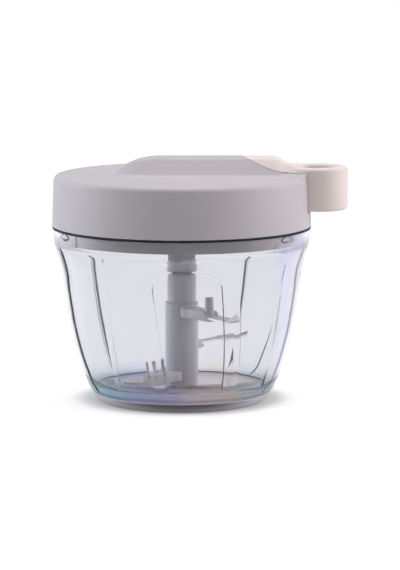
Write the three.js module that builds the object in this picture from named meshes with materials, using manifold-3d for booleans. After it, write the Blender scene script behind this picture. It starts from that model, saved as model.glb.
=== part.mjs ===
// Pull-cord food chopper: a clear bowl on a soft base ring, a blade shaft that spins on a pin in the
// bowl's floor, and a locking lid that holds the cord spool, its recoil spring and a ratchet drive.
// Lengths are millimetres and angles are degrees. +Z is up and the pull handle points along +X.
// An azimuth is measured from the front, -Y, and grows towards +X.
import * as THREE from 'three';
import { mergeVertices } from 'three/addons/utils/BufferGeometryUtils.js';
import Module from 'manifold-3d';

const wasm = await Module();
wasm.setup();

// Clearances, overruns and facets
const gap = 0.3;
const slideGap = 0.4;
const overrun = 4;
const bodyFacets = 48;
const turnedFacets = 28;
const smallFacets = 12;
const fullTurn = 360;
const quarterTurn = 90;

// Lid cover: the lid's radius and the height of the bowl's mouth place most other pieces
const lidRadius = 65;
const lidHeight = 25;
const lidSeatGap = 0.7;
const lidDraft = 0.8;
const lidFillet = 2.8;
const lidWall = 2.1;
const lidTopWall = 2;
const humpHeight = 9.5;
const humpNose = -34;
const humpNoseLength = 23;
const humpHalfBase = 11;
const humpHalfTop = 8.2;
const humpEdge = 1.6;
const noseSections = 6;
const noseFirstAngle = 16;
const noseRisePower = 1.5;
const noseWidthPower = 1.2;

// Bowl
const bowlMouthHeight = 88.3;
const bowlFootHeight = 5.1;
const bowlFootRadius = 45.2;
const bowlMouthInset = 0.1;
const bowlMouthEdge = 0.5;
const bowlCollarDepth = 9.3;
const bowlCollarTaper = 1;
const bowlNeckRise = 5.5;
const bowlNeckWall = 1.6;
const bowlCollarBoreDepth = 7.8;
const bowlWallTop = 1.5;
const bowlWallBottom = 2.4;
const bowlFloorThickness = 2.1;
const bowlFloorInset = 6.7;
const bowlFloorFillet = 6;
const creaseAzimuths = [-38.8, 56.5, 148, 229.6];
const creaseTopDepth = 15.3;
const creaseFade = 8;
const creaseRise = 1.6;
const columnsPerPanel = 10;
const insidePointStep = 2;
// Shares of the height and of the radius between the bowl's foot and its collar
const bowlSideShares = [
  [0.05, 0.11], [0.14, 0.245], [0.22, 0.355], [0.34, 0.487], [0.46, 0.594], [0.59, 0.679],
  [0.71, 0.748], [0.8, 0.792], [0.86, 0.845], [0.92, 0.91], [1, 1],
];

// Lock between the bowl's collar and the lid: three bumps and three ramped pads
const lockAzimuth = 55;
const lockCopies = 3;
const bumpWidth = 9.2;
const bumpHeight = 2.9;
const bumpRise = 0.6;
const bumpDepth = 2.8;
const padRise = 0.5;
const padWidth = 17.5;
const padHeight = 2.1;
const padRamp = 3;
const padStopWidth = 1.6;
const padStopHeight = 5.4;

// Base ring and floor pin
const baseRingMargin = 0.7;
const baseRingWidth = 9.4;
const baseRingHeight = 4.8;
const baseRingEdge = 1.2;
const baseRidgeInset = 3.5;
const baseRidgeWidth = 2.4;
const baseRidgeRise = 1.2;
const pinRadius = 2.5;
const pinLength = 17.2;
const pinChamfer = 0.8;
const pinSeatDepth = 1.2;
const pinBossWall = 1.8;
const pinBossRise = 3.4;

// Blade shaft
const shaftFloorGap = 1;
const shaftLowerRadius = 8.4;
const shaftStepHeight = 49.5;
const shaftStepChamfer = 0.7;
const shaftUpperRadius = 7.3;
const shaftCollarRadius = 7.7;
const shaftCollarHeight = 3.8;
const shaftCollarEdge = 0.6;
const shaftNeckRadius = 7;
const shaftNeckHeight = 1.4;
const shaftHeadroom = 11.3;
const shaftBore = 6;
const socketDepth = 13;
const socketRibWidth = 1.6;
const socketRibRise = 1.3;
const socketRibSink = 0.4;
const dogCount = 2;
const dogLag = 60;
const bushCap = 1.6;

// Blades and the moulded arms that hold them
const upperBladeHeight = 45.4;
const upperBladeClearance = 6.4;
const middleBladeHeight = 28;
const middleBladeClearance = 4.1;
const lowerBladeHeight = 13.4;
const lowerBladeClearance = 3.2;
const longArm = 29;
const shortArm = 14;
const armThickness = 4.5;
const armRootWidth = 10.4;
const armTipWidth = 8;
const armTipRadius = 3;
const pegRadius = 2.3;
const pegTipRadius = 2.1;
const pegHeight = 7;
const pegPlace = 24;
const bladeThickness = 1.2;
const bladeRoot = 11;
const bladeHalfWidth = 6.4;
const bladeBevel = 2.2;
const bladeEdge = 0.3;
// Shares of the blade's length, and of its half-width at its cutting edge and at its back
const bladeShares = [
  [0, 0.47, -0.47], [0.37, 0.52, -0.48], [0.55, 0.74, -0.86], [0.75, 0.68, -0.92],
  [0.91, 0.28, -0.73], [1, -0.36, -0.46],
];

// Pull handle: a finger ring with a tongue that lies flush on the end of the hump
const ringOutreach = 2.5;
const ringRadius = 15.9;
const ringHole = 9.7;
const ringHeight = 21.5;
const ringRise = 4.1;
const ringEdge = 0.7;
const tongueLength = 21.3;
const tongueFlat = 15.6;
const tongueRootSink = 5;
const lipRise = 2.2;
const lipOverlap = 1.8;
const lipWidth = 1.7;
const pocketWall = 1.8;
// Shares of the drop from the hump's flat top to the ring's top, past the end of the flat
const tongueDropShares = [[0.12, 0.4], [0.32, 0.77], [0.52, 0.92], [0.75, 0.99], [1, 1]];
const tongueDropLength = 20;
// Shares along the parting line between hump and tongue, and of its height above the lip
const partingShares = [[0, 1], [0.125, 0.7], [0.28, 0.47], [0.52, 0.23], [0.76, 0.06], [1, 0]];

// Lid base: the plate under the works, with the plug that fits the bowl's neck
const plugClearance = 0.8;
const plugDepth = 6.8;
const plugWall = 3;
const plugEdge = 0.5;
const plateThickness = 2;
const flangeNeckGap = 1.1;
const flangeThickness = 1.5;
const sealRise = 1.2;
const sealHeight = 2.2;
const sealSink = 1.2;
const sealLip = 0.5;

// Screws that hold the lid base to the cover
const coverScrewAzimuths = [-90, 30, 150];
const coverPostInset = 1.8;
const coverPostRadius = 4.4;
const coverPostHeight = 13.2;
const screwHeadRadius = 2.8;
const screwHeadHeight = 2;
const screwHeadDepth = 2.6;
const screwShankRadius = 1.4;
const screwLength = 21.4;

// Cord, spool and axle
const cordRadius = 1;
const spoolCoreRadius = 15.5;
const spoolFlangeMargin = 0.7;
const spoolFlangeThickness = 1.3;
const spoolGroove = 4;
const spoolArborRadius = 6.4;
const spoolKeyRadius = 4.9;
const spoolKeySink = 0.6;
const keySides = 6;
const windingTurns = 3;
const windingPitch = 2.5;
const windingSegments = 24;
const windingSides = 6;
const axleRadius = 2;
const axleSink = 1;
const axleRoofGap = 5.5;
const axleBossWall = 2.3;
const axleCrown = 1;
const pullRange = 350;

// Cord eyelet and the knot in the handle
const eyeletBore = 1.5;
const eyeletWall = 1.1;
const eyeletFlange = 4;
const eyeletFlangeThickness = 0.8;
const knotRadius = 1.9;
const knotDepth = 3.6;
const cordStraight = 5;

// Recoil spring and its housing
const housingOuter = 24;
const housingWall = 1.6;
const housingFloor = 1.5;
const housingHeight = 9.6;
const earReach = 2.6;
const earRadius = 3.6;
const earThickness = 2.2;
const earAzimuths = [-30, 90, 210];
const earPostRadius = 2.7;
const earScrewRadius = 1.2;
const earScrewHead = 2.2;
const earScrewHeadHeight = 1.6;
const earScrewLength = 7;
const springThickness = 0.6;
const springTurns = 4;
const springSegments = 20;
const springRim = 0.6;

// Drive hub, its bush and the ratchet
const hubShaftRadius = 6.9;
const hubShaftGap = 1;
const hubRadius = 20;
const hubRimWall = 1.6;
const hubRimHeight = 3.8;
const hubDiscThickness = 2.1;
const spindleLength = 12.6;
const spindleRadius = 3.6;
const spindleVaneWidth = 1.6;
const bushWall = 1.8;
const bushFlangeWidth = 2;
const bushFlangeThickness = 1.2;
const ratchetTip = 11.6;
const ratchetRoot = 9.6;
const ratchetTeeth = 12;
const ratchetThickness = 3;
const pawlPlace = 15.6;
const pawlPostRadius = 1.3;
const pawlEyeRadius = 2.4;
const pawlReach = 8.6;
const pawlNoseHalf = 0.7;
const pawlAngle = 118;
const pawlThickness = 2.6;

// Finishes
const clearPlastic = { color: 0xdfe0e6, roughness: 0.06, metalness: 0, transparent: true, opacity: 0.35 };
const lilacPlastic = { color: 0xc9c2c8, roughness: 0.42, metalness: 0 };
const creamPlastic = { color: 0xe2d5cf, roughness: 0.4, metalness: 0 };
const greyPlastic = { color: 0x8d8c9c, roughness: 0.38, metalness: 0 };
const mauveRubber = { color: 0x625661, roughness: 0.75, metalness: 0 };
const paleRubber = { color: 0xd5d3d6, roughness: 0.8, metalness: 0 };
const whitePlastic = { color: 0xe9e7e4, roughness: 0.45, metalness: 0 };
const steel = { color: 0xb9bcc2, roughness: 0.24, metalness: 1 };
const springSteel = { color: 0x8c9096, roughness: 0.35, metalness: 1 };
const cordWhite = { color: 0xe8e4de, roughness: 0.9, metalness: 0 };

// Derived radii
const radians = Math.PI / 180;
const lidBore = lidRadius - lidWall;
const bowlMouthRadius = lidRadius - bowlMouthInset;
const bowlCollarRadius = bowlMouthRadius - bowlCollarTaper;
const bowlNeckRadius = lidBore - gap;
const bowlNeckBore = bowlNeckRadius - bowlNeckWall;
const bowlCollarBore = bowlNeckBore + bumpRise;
const bowlFloorRadius = bowlFootRadius - bowlFloorInset;
const baseRingRadius = bowlFootRadius + baseRingMargin;
const baseRidgeOuter = baseRingRadius - baseRidgeInset;
const baseRidgeInner = baseRidgeOuter - baseRidgeWidth;
const plugRadius = bowlNeckBore - plugClearance;
const plugBore = plugRadius - plugWall;
const sealOuter = bowlNeckBore - gap;
const sealInner = plugRadius - sealSink;
const flangeRadius = lidBore - slideGap;
const coverScrewPlace = plugBore - coverPostInset - coverPostRadius;
const windingInner = spoolCoreRadius + gap + cordRadius;
const windingOuter = windingInner + windingTurns * windingPitch;
const spoolFlangeRadius = windingOuter + cordRadius + spoolFlangeMargin;
const socketRibInner = shaftBore - socketRibRise;
const spindleVaneOuter = shaftBore - gap - gap;
const bushRadius = hubShaftRadius + gap + bushWall;
const earPlace = housingOuter + earReach;
const eyeletRadius = eyeletBore + eyeletWall;

// Derived places along the handle's plane, from the bowl's axis
const ringCentre = lidRadius + ringOutreach;
const handleReach = ringCentre + ringRadius;
const axisPlace = -(handleReach - lidRadius) / 2;
const ringInner = ringCentre - ringRadius;
const tongueTip = ringInner - tongueLength;
const humpFlatEnd = tongueTip + tongueFlat;
const lipStart = ringInner + lipOverlap;
const pocketRadius = ringRadius + slideGap;
const pocketOuter = pocketRadius + pocketWall;
const pocketInner = ringCentre - pocketRadius;
const eyeletStart = pocketInner - pocketWall;
const knotSeat = ringCentre - ringHole - knotDepth;

// Derived heights
const bowlCollarHeight = bowlMouthHeight - bowlCollarDepth;
const bowlNeckTop = bowlMouthHeight + bowlNeckRise;
const bowlFloorHeight = bowlFootHeight + bowlFloorThickness;
const baseRidgeTop = baseRingHeight + baseRidgeRise;
const lidBottom = bowlMouthHeight + lidSeatGap;
const lidTop = lidBottom + lidHeight;
const humpTop = lidTop + humpHeight;
const lipTop = lidTop + lipRise;
const ringTop = lidTop + ringRise;
const ringBottom = ringTop - ringHeight;
const cordHeight = (ringBottom + ringTop) / 2;
const pocketFloor = ringBottom - slideGap;
const pinSeat = bowlFloorHeight - pinSeatDepth;
const pinTop = pinSeat + gap + pinLength;
const pinBossTop = bowlFloorHeight + pinBossRise;
const plugBottom = bowlMouthHeight - plugDepth;
const plateBottom = plugBottom + plugEdge;
const plateTop = plateBottom + plateThickness;
const flangeBottom = bowlNeckTop + flangeNeckGap;
const sealBottom = lidBottom + sealRise;
const screwHeadBottom = plateBottom + screwHeadDepth;
const screwTip = screwHeadBottom + screwLength;
const coverPostTop = plateTop + coverPostHeight;
const shaftTop = plugBottom - shaftHeadroom;
const hubShaftBottom = shaftTop + hubShaftGap;
const spindleBottom = hubShaftBottom - spindleLength;
const bushFlangeTop = plateTop + gap + bushFlangeThickness;
const hubDiscBottom = bushFlangeTop + slideGap;
const hubDiscTop = hubDiscBottom + hubDiscThickness;
const hubRimTop = hubDiscTop + hubRimHeight;
const ratchetBottom = hubDiscTop + gap;
const ratchetTop = ratchetBottom + ratchetThickness;
const spoolArborBottom = ratchetTop + gap;
const housingBottom = hubRimTop + 2 * slideGap;
const housingTop = housingBottom + housingHeight;
const grooveLow = cordHeight - spoolGroove / 2;
const grooveHigh = cordHeight + spoolGroove / 2;
const spoolBottom = grooveLow - spoolFlangeThickness;
const spoolTop = grooveHigh + spoolFlangeThickness;
const axleBottom = plateBottom - axleSink;
const axleTop = humpTop - axleRoofGap;
const axleBossBottom = spoolTop + gap + gap;

// Shape tools

// A three.js geometry as a manifold solid, with its faces turned outwards.
function solid(geometry) {
  const bare = geometry.clone();
  bare.deleteAttribute('normal');
  bare.deleteAttribute('uv');
  const merged = mergeVertices(bare);
  const places = merged.attributes.position.array;
  const index = merged.index.array;
  const triangles = [];
  let volume = 0;
  for (let i = 0; i < index.length; i += 3) {
    const [a, b, c] = [index[i], index[i + 1], index[i + 2]];
    if (a === b || b === c || c === a) continue;
    triangles.push(a, b, c);
    const [p, q, r] = [a, b, c].map((k) => new THREE.Vector3().fromArray(places, 3 * k));
    volume += p.dot(q.cross(r));
  }
  if (volume < 0) triangles.reverse();
  return new wasm.Manifold(new wasm.Mesh({
    numProp: 3,
    vertProperties: new Float32Array(places),
    triVerts: new Uint32Array(triangles),
  }));
}

function joined(solids) {
  return solids.reduce((whole, next) => whole.add(next));
}

// A profile of [radius, height] points turned about the axis. A ring's profile closes on itself.
function revolve(profile, facets = turnedFacets) {
  const touchesAxis = profile.some(([radius]) => radius === 0);
  const loop = touchesAxis ? profile : [...profile, profile[0]];
  const points = loop.map(([radius, height]) => new THREE.Vector2(radius, height));
  return solid(new THREE.LatheGeometry(points, facets).rotateX(quarterTurn * radians));
}

function rod(radius, bottom, top, facets = smallFacets) {
  return revolve([[0, bottom], [radius, bottom], [radius, top], [0, top]], facets);
}

function tubeOf(outer, inner, bottom, top, facets = turnedFacets) {
  return revolve([[inner, bottom], [outer, bottom], [outer, top], [inner, top]], facets);
}

// A plan outline of [x, y] points raised between two heights.
function prism(outline, bottom, top) {
  const shape = new THREE.Shape(outline.map(([x, y]) => new THREE.Vector2(x, y)));
  const body = new THREE.ExtrudeGeometry(shape, { depth: top - bottom, bevelEnabled: false });
  return solid(body.translate(0, 0, bottom));
}

// A side outline of [x, z] points, as wide as halfWidth on both sides of the handle's plane.
function sidePrism(outline, halfWidth) {
  const shape = new THREE.Shape(outline.map(([x, z]) => new THREE.Vector2(x, z)));
  const body = new THREE.ExtrudeGeometry(shape, { depth: 2 * halfWidth, bevelEnabled: false });
  return solid(body.rotateX(quarterTurn * radians).translate(0, halfWidth, 0));
}

// A closed body through loops of points, each loop with the same number of points.
function lofted(loops) {
  const count = loops[0].length;
  const places = loops.flat(2);
  const index = [];
  for (let row = 0; row + 1 < loops.length; row += 1) {
    for (let k = 0; k < count; k += 1) {
      const next = (k + 1) % count;
      const [a, b] = [row * count + k, row * count + next];
      index.push(a, b, b + count, a, b + count, a + count);
    }
  }
  const last = (loops.length - 1) * count;
  for (let k = 1; k + 1 < count; k += 1) {
    index.push(0, k + 1, k, last, last + k, last + k + 1);
  }
  const geometry = new THREE.BufferGeometry();
  geometry.setAttribute('position', new THREE.Float32BufferAttribute(places, 3));
  geometry.setIndex(index);
  return solid(geometry);
}

// A cord along a curve, with flat ends square to it.
function cordAlong(curve, steps, sides) {
  const section = new THREE.Shape();
  for (let k = 0; k < sides; k += 1) {
    const turn = (k / sides) * fullTurn * radians;
    const [x, y] = [cordRadius * Math.cos(turn), cordRadius * Math.sin(turn)];
    if (k === 0) section.moveTo(x, y);
    else section.lineTo(x, y);
  }
  const settings = { steps, extrudePath: curve, bevelEnabled: false };
  return solid(new THREE.ExtrudeGeometry(section, settings));
}

// Moves a solid out along an azimuth, with its own +X pointing outwards.
function placedAt(body, azimuth, distance = 0) {
  return body.translate([distance, 0, 0]).rotate([0, 0, azimuth - quarterTurn]);
}

function mixed(from, to, share) {
  return from + (to - from) * share;
}

const chopper = new THREE.Group();
const works = new THREE.Group();
works.position.x = axisPlace;
chopper.add(works);

function addPiece(name, body, finish) {
  const mesh = body.getMesh();
  const geometry = new THREE.BufferGeometry();
  geometry.setAttribute('position', new THREE.BufferAttribute(mesh.vertProperties, 3));
  geometry.setIndex(new THREE.BufferAttribute(mesh.triVerts, 1));
  geometry.computeVertexNormals();
  const piece = new THREE.Mesh(geometry, new THREE.MeshStandardMaterial(finish));
  piece.name = name;
  works.add(piece);
}

// Bowl

// The rise of the wall towards a crease, which fades out at the shoulder and at the foot. The place
// in a panel runs from -1 to 1, from one crease to the next.
function creaseLift(height, place) {
  const creaseEnd = bowlMouthHeight - creaseTopDepth + creaseFade;
  const above = THREE.MathUtils.clamp((creaseEnd - height) / creaseFade, 0, 1);
  const below = THREE.MathUtils.clamp((height - bowlFootHeight) / creaseFade, 0, 1);
  return creaseRise * place * place * above * below;
}

// The points of the bowl's side, outside for a wallShare of 0 and inside for a wallShare of 1
function sidePoints(place, wallShare) {
  return bowlSideShares.map(([heightShare, radiusShare]) => {
    const height = mixed(bowlFootHeight, bowlCollarHeight, heightShare);
    const radius = mixed(bowlFootRadius, bowlCollarRadius, radiusShare);
    const wall = mixed(bowlWallBottom, bowlWallTop, heightShare);
    return [radius + creaseLift(height, place) - wallShare * wall, height];
  });
}

// The radius of the bowl's inside at a height, in the middle of a panel
function insideRadius(height) {
  const points = sidePoints(0, 1);
  const above = points.findIndex(([, pointHeight]) => pointHeight > height);
  const [[lowRadius, low], [highRadius, high]] = [points[above - 1], points[above]];
  return mixed(lowRadius, highRadius, (height - low) / (high - low));
}

function bowlProfile(place) {
  const grooveTop = baseRidgeTop + gap;
  const inside = sidePoints(place, 1).slice(1, -1)
    .filter((_, k) => k % insidePointStep === 0).reverse();
  const filletMiddle = bowlFloorRadius + bowlFloorFillet * Math.SQRT1_2;
  const pinHole = pinRadius + gap;
  const pinBossRadius = pinHole + pinBossWall;
  return [
    [0, bowlFootHeight], [baseRidgeInner - gap, bowlFootHeight],
    [baseRidgeInner - gap, grooveTop], [baseRidgeOuter + gap, grooveTop],
    [baseRidgeOuter + gap, bowlFootHeight], [bowlFootRadius, bowlFootHeight],
    ...sidePoints(place, 0),
    [bowlMouthRadius, bowlMouthHeight - bowlMouthEdge],
    [bowlMouthRadius - bowlMouthEdge, bowlMouthHeight],
    [bowlNeckRadius, bowlMouthHeight],
    [bowlNeckRadius, bowlNeckTop - bowlMouthEdge],
    [bowlNeckRadius - bowlMouthEdge, bowlNeckTop],
    [bowlNeckBore, bowlNeckTop], [bowlNeckBore, bowlMouthHeight],
    [bowlCollarBore, bowlMouthHeight],
    [bowlCollarBore, bowlMouthHeight - bowlCollarBoreDepth],
    ...inside,
    [filletMiddle, bowlFloorHeight + bowlFloorFillet * (1 - Math.SQRT1_2)],
    [bowlFloorRadius, bowlFloorHeight], [pinBossRadius, bowlFloorHeight],
    [pinBossRadius, pinBossTop], [pinHole, pinBossTop], [pinHole, pinSeat], [0, pinSeat],
  ];
}

function bowlShell() {
  const columns = [];
  creaseAzimuths.forEach((start, panel) => {
    const following = creaseAzimuths[(panel + 1) % creaseAzimuths.length];
    const end = following > start ? following : following + fullTurn;
    for (let column = 0; column < columnsPerPanel; column += 1) {
      const azimuth = mixed(start, end, column / columnsPerPanel) * radians;
      const place = 2 * (column / columnsPerPanel) - 1;
      columns.push(bowlProfile(place).map(([radius, height]) => [
        radius * Math.sin(azimuth), -radius * Math.cos(azimuth), height,
      ]));
    }
  });
  const count = columns[0].length;
  const index = [];
  columns.forEach((column, i) => {
    const next = (i + 1) % columns.length;
    for (let k = 0; k + 1 < count; k += 1) {
      const [a, b] = [i * count + k, next * count + k];
      index.push(a, b, b + 1, a, b + 1, a + 1);
    }
  });
  const geometry = new THREE.BufferGeometry();
  geometry.setAttribute('position', new THREE.Float32BufferAttribute(columns.flat(2), 3));
  geometry.setIndex(index);
  return solid(geometry);
}

// A low oval bump inside the collar, which holds a pad of the lid down.
function lockBump() {
  const outline = [];
  for (let k = 0; k < smallFacets; k += 1) {
    const turn = (k / smallFacets) * fullTurn * radians;
    outline.push([(bumpWidth / 2) * Math.cos(turn), (bumpHeight / 2) * Math.sin(turn)]);
  }
  const depth = bowlCollarBore - bowlNeckBore + bowlWallTop / 2;
  return prism(outline, 0, depth)
    .rotate([quarterTurn, 0, quarterTurn])
    .translate([bowlNeckBore, 0, bowlMouthHeight - bumpDepth]);
}

function lockCopiesOf(body) {
  const copies = [];
  for (let k = 0; k < lockCopies; k += 1) {
    copies.push(placedAt(body, lockAzimuth + (k * fullTurn) / lockCopies));
  }
  return copies;
}

addPiece('bowl', joined([bowlShell(), ...lockCopiesOf(lockBump())]), clearPlastic);

// Base ring, with a ridge that fits a groove under the bowl
const baseRingBore = baseRingRadius - baseRingWidth;
addPiece('base_ring', revolve([
  [baseRingBore, 0], [baseRingRadius - baseRingEdge, 0], [baseRingRadius, baseRingEdge],
  [baseRingRadius, baseRingHeight], [baseRidgeOuter, baseRingHeight],
  [baseRidgeOuter, baseRidgeTop], [baseRidgeInner, baseRidgeTop],
  [baseRidgeInner, baseRingHeight], [baseRingBore, baseRingHeight],
], bodyFacets), mauveRubber);

addPiece('floor_pin', revolve([
  [0, pinSeat + gap], [pinRadius, pinSeat + gap], [pinRadius, pinTop - pinChamfer],
  [pinRadius - pinChamfer, pinTop], [0, pinTop],
], smallFacets), steel);

const bladeLevels = [
  {
    name: 'upper_blade', height: upperBladeHeight, azimuth: 35, arm: longArm, hasPeg: true,
    reach: insideRadius(upperBladeHeight) - upperBladeClearance,
  },
  {
    name: 'middle_blade', height: middleBladeHeight, azimuth: 138, arm: shortArm, hasPeg: false,
    reach: insideRadius(middleBladeHeight) - middleBladeClearance,
  },
  {
    name: 'lower_blade', height: lowerBladeHeight, azimuth: 322, arm: longArm, hasPeg: true,
    reach: insideRadius(lowerBladeHeight) - lowerBladeClearance,
  },
];

// The blade's two edges as [x, cutting edge, back], with +X along its arm and the cutting edge
// on +Y, grown on all sides for the slot in the arm
function bladeEdges(reach, grow) {
  return bladeShares.map(([lengthShare, edgeShare, backShare]) => [
    mixed(bladeRoot - grow, reach + grow, lengthShare),
    bladeHalfWidth * edgeShare + grow,
    bladeHalfWidth * backShare - grow,
  ]);
}

// A steel blade: full thickness at its back, ground down to a thin cutting edge
function bladeBody({ height, reach }) {
  const bottom = height - bladeThickness / 2;
  const top = height + bladeThickness / 2;
  return lofted(bladeEdges(reach, 0).map(([x, edge, back]) => {
    const bevel = Math.min(bladeBevel, (edge - back) / 2);
    return [
      [x, back, bottom], [x, edge, bottom], [x, edge, height + bladeEdge / 2],
      [x, edge - bevel, top], [x, back, top],
    ];
  }));
}

// The moulded arm that grips a blade's root, with the upright peg on it
function bladeArm({ height, reach, arm, hasPeg }) {
  const rootHalf = armRootWidth / 2;
  const tipHalf = armTipWidth / 2;
  const straight = arm - armTipRadius;
  const plate = prism([
    [shaftBore, -rootHalf], [straight, -tipHalf], [arm, armTipRadius - tipHalf],
    [arm, tipHalf - armTipRadius], [straight, tipHalf], [shaftBore, rootHalf],
  ], height - armThickness / 2, height + armThickness / 2);
  const pegBottom = height + armThickness / 2 - bladeThickness / 2;
  const pegTop = height + armThickness / 2 + pegHeight;
  const peg = revolve([
    [0, pegBottom], [pegRadius, pegBottom], [pegTipRadius, pegTop], [0, pegTop],
  ], smallFacets).translate([pegPlace, 0, 0]);
  const edges = bladeEdges(reach, gap);
  const slot = prism([
    ...edges.map(([x, , back]) => [x, back]), ...edges.reverse().map(([x, edge]) => [x, edge]),
  ], height - bladeThickness / 2 - gap, height + bladeThickness / 2 + gap);
  return (hasPeg ? plate.add(peg) : plate).subtract(slot);
}

function bladeShaft() {
  const shaftBottom = bowlFloorHeight + shaftFloorGap;
  const shaftCollarTop = shaftTop - shaftNeckHeight;
  const shaftCollarBottom = shaftCollarTop - shaftCollarHeight;
  const tube = revolve([
    [shaftBore, shaftBottom], [shaftLowerRadius, shaftBottom],
    [shaftLowerRadius, shaftStepHeight], [shaftUpperRadius, shaftStepHeight + shaftStepChamfer],
    [shaftUpperRadius, shaftCollarBottom],
    [shaftCollarRadius, shaftCollarBottom + shaftCollarEdge],
    [shaftCollarRadius, shaftCollarTop - shaftCollarEdge],
    [shaftNeckRadius, shaftCollarTop], [shaftNeckRadius, shaftTop], [shaftBore, shaftTop],
  ]);
  const ribBottom = shaftTop - socketDepth;
  const ribHalf = socketRibWidth / 2;
  const rib = prism([
    [socketRibInner, -ribHalf], [shaftBore + socketRibSink, -ribHalf],
    [shaftBore + socketRibSink, ribHalf], [socketRibInner, ribHalf],
  ], ribBottom, shaftTop);
  const ribs = [];
  for (let k = 0; k < dogCount; k += 1) ribs.push(placedAt(rib, (k * fullTurn) / dogCount));
  const bore = rod(shaftBore, shaftBottom - overrun, ribBottom, turnedFacets);
  const arms = bladeLevels.map((level) => placedAt(bladeArm(level), level.azimuth));
  return joined([tube, ...arms]).subtract(bore).add(joined(ribs));
}

addPiece('blade_shaft', bladeShaft(), greyPlastic);
bladeLevels.forEach((level) => {
  addPiece(level.name, placedAt(bladeBody(level), level.azimuth), steel);
});

// Bush in the shaft's foot, which turns on the floor pin and rests on its tip
const bushFootRadius = shaftBore - gap;
const bushFootBottom = pinBossTop + gap;
const bushFootBore = pinRadius + gap;
addPiece('foot_bush', revolve([
  [0, pinTop + gap], [bushFootBore, pinTop + gap], [bushFootBore, bushFootBottom],
  [bushFootRadius, bushFootBottom], [bushFootRadius, pinTop + gap + bushCap],
  [0, pinTop + gap + bushCap],
], turnedFacets), whitePlastic);

// Lid cover

// One section of the hump at a distance along the handle's plane, with softened upper edges
function humpSection(x, halfBase, halfTop, height, bottom) {
  const edge = Math.min(humpEdge, height / 2, halfTop / 2);
  const top = lidTop + height;
  const side = mixed(halfTop, halfBase, edge / height);
  const half = [[halfBase, bottom], [halfBase, lidTop], [side, top - edge], [halfTop - edge, top]];
  const mirrored = half.map(([y, z]) => [-y, z]).reverse();
  return [...half, ...mirrored].map(([y, z]) => [x, y, z]);
}

// The hump and the handle's tongue as one flowing form, shrunk by inset for the space inside. Its
// nose widens and rises along powers of a sine.
function humpForm(inset, bottom) {
  const loops = [];
  const noseEnd = humpNose + humpNoseLength;
  const full = [humpHalfBase - inset, humpHalfTop - inset];
  for (let k = 0; k < noseSections; k += 1) {
    const angle = mixed(noseFirstAngle, quarterTurn, k / noseSections) * radians;
    const x = noseEnd - (humpNoseLength - inset) * Math.cos(angle);
    const widths = full.map((half) => half * Math.sin(angle) ** noseWidthPower);
    const height = (humpHeight - inset) * Math.sin(angle) ** noseRisePower;
    loops.push(humpSection(x, ...widths, height, bottom));
  }
  loops.push(humpSection(noseEnd, ...full, humpHeight - inset, bottom));
  loops.push(humpSection(humpFlatEnd, ...full, humpHeight - inset, bottom));
  tongueDropShares.forEach(([lengthShare, dropShare]) => {
    const x = humpFlatEnd + tongueDropLength * lengthShare;
    const height = mixed(humpHeight, ringTop - lidTop, dropShare) - inset;
    loops.push(humpSection(x, ...full, height, bottom));
  });
  return lofted(loops);
}

// All that lies above the parting line between the lid and the handle's tongue
function aboveParting(shiftX, shiftZ) {
  const line = partingShares.map(([lengthShare, heightShare]) => [
    mixed(tongueTip, lipStart, lengthShare) + shiftX,
    mixed(lipTop, humpTop, heightShare) + shiftZ,
  ]);
  const far = handleReach + overrun;
  const high = humpTop + overrun;
  const [tipX] = line[0];
  return sidePrism([[tipX, high], ...line, [far, lipTop + shiftZ], [far, high]], ringRadius + overrun);
}

function ringCylinder(radius, bottom, top) {
  return rod(radius, bottom, top, bodyFacets).translate([ringCentre, 0, 0]);
}

function lidOutside() {
  const side = lidRadius - lidDraft;
  const arcInset = lidFillet * (1 - Math.SQRT1_2);
  return revolve([
    [0, lidBottom], [lidRadius, lidBottom], [side, lidTop - lidFillet],
    [side - arcInset, lidTop - arcInset], [side - lidFillet, lidTop], [0, lidTop],
  ], bodyFacets);
}

function lidInside() {
  const top = lidTop - lidTopWall;
  const corner = lidBore - lidDraft;
  return revolve([
    [0, lidBottom - overrun], [lidBore, lidBottom - overrun], [lidBore, lidBottom],
    [corner, top - lidFillet], [corner - lidFillet, top], [0, top],
  ], bodyFacets);
}

// A rod that lies along the cord's straight run to the handle
function alongHandle(radius, start, end) {
  return rod(radius, start, end).rotate([0, quarterTurn, 0]).translate([0, 0, cordHeight]);
}

function coverBosses() {
  return coverScrewAzimuths.map((azimuth) => placedAt(
    rod(coverPostRadius, coverPostTop + gap, lidTop - lidTopWall / 2),
    azimuth,
    coverScrewPlace,
  ));
}

function coverPilots() {
  return coverScrewAzimuths.map((azimuth) => placedAt(
    rod(screwShankRadius + gap, coverPostTop - overrun, screwTip + gap),
    azimuth,
    coverScrewPlace,
  ));
}

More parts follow.
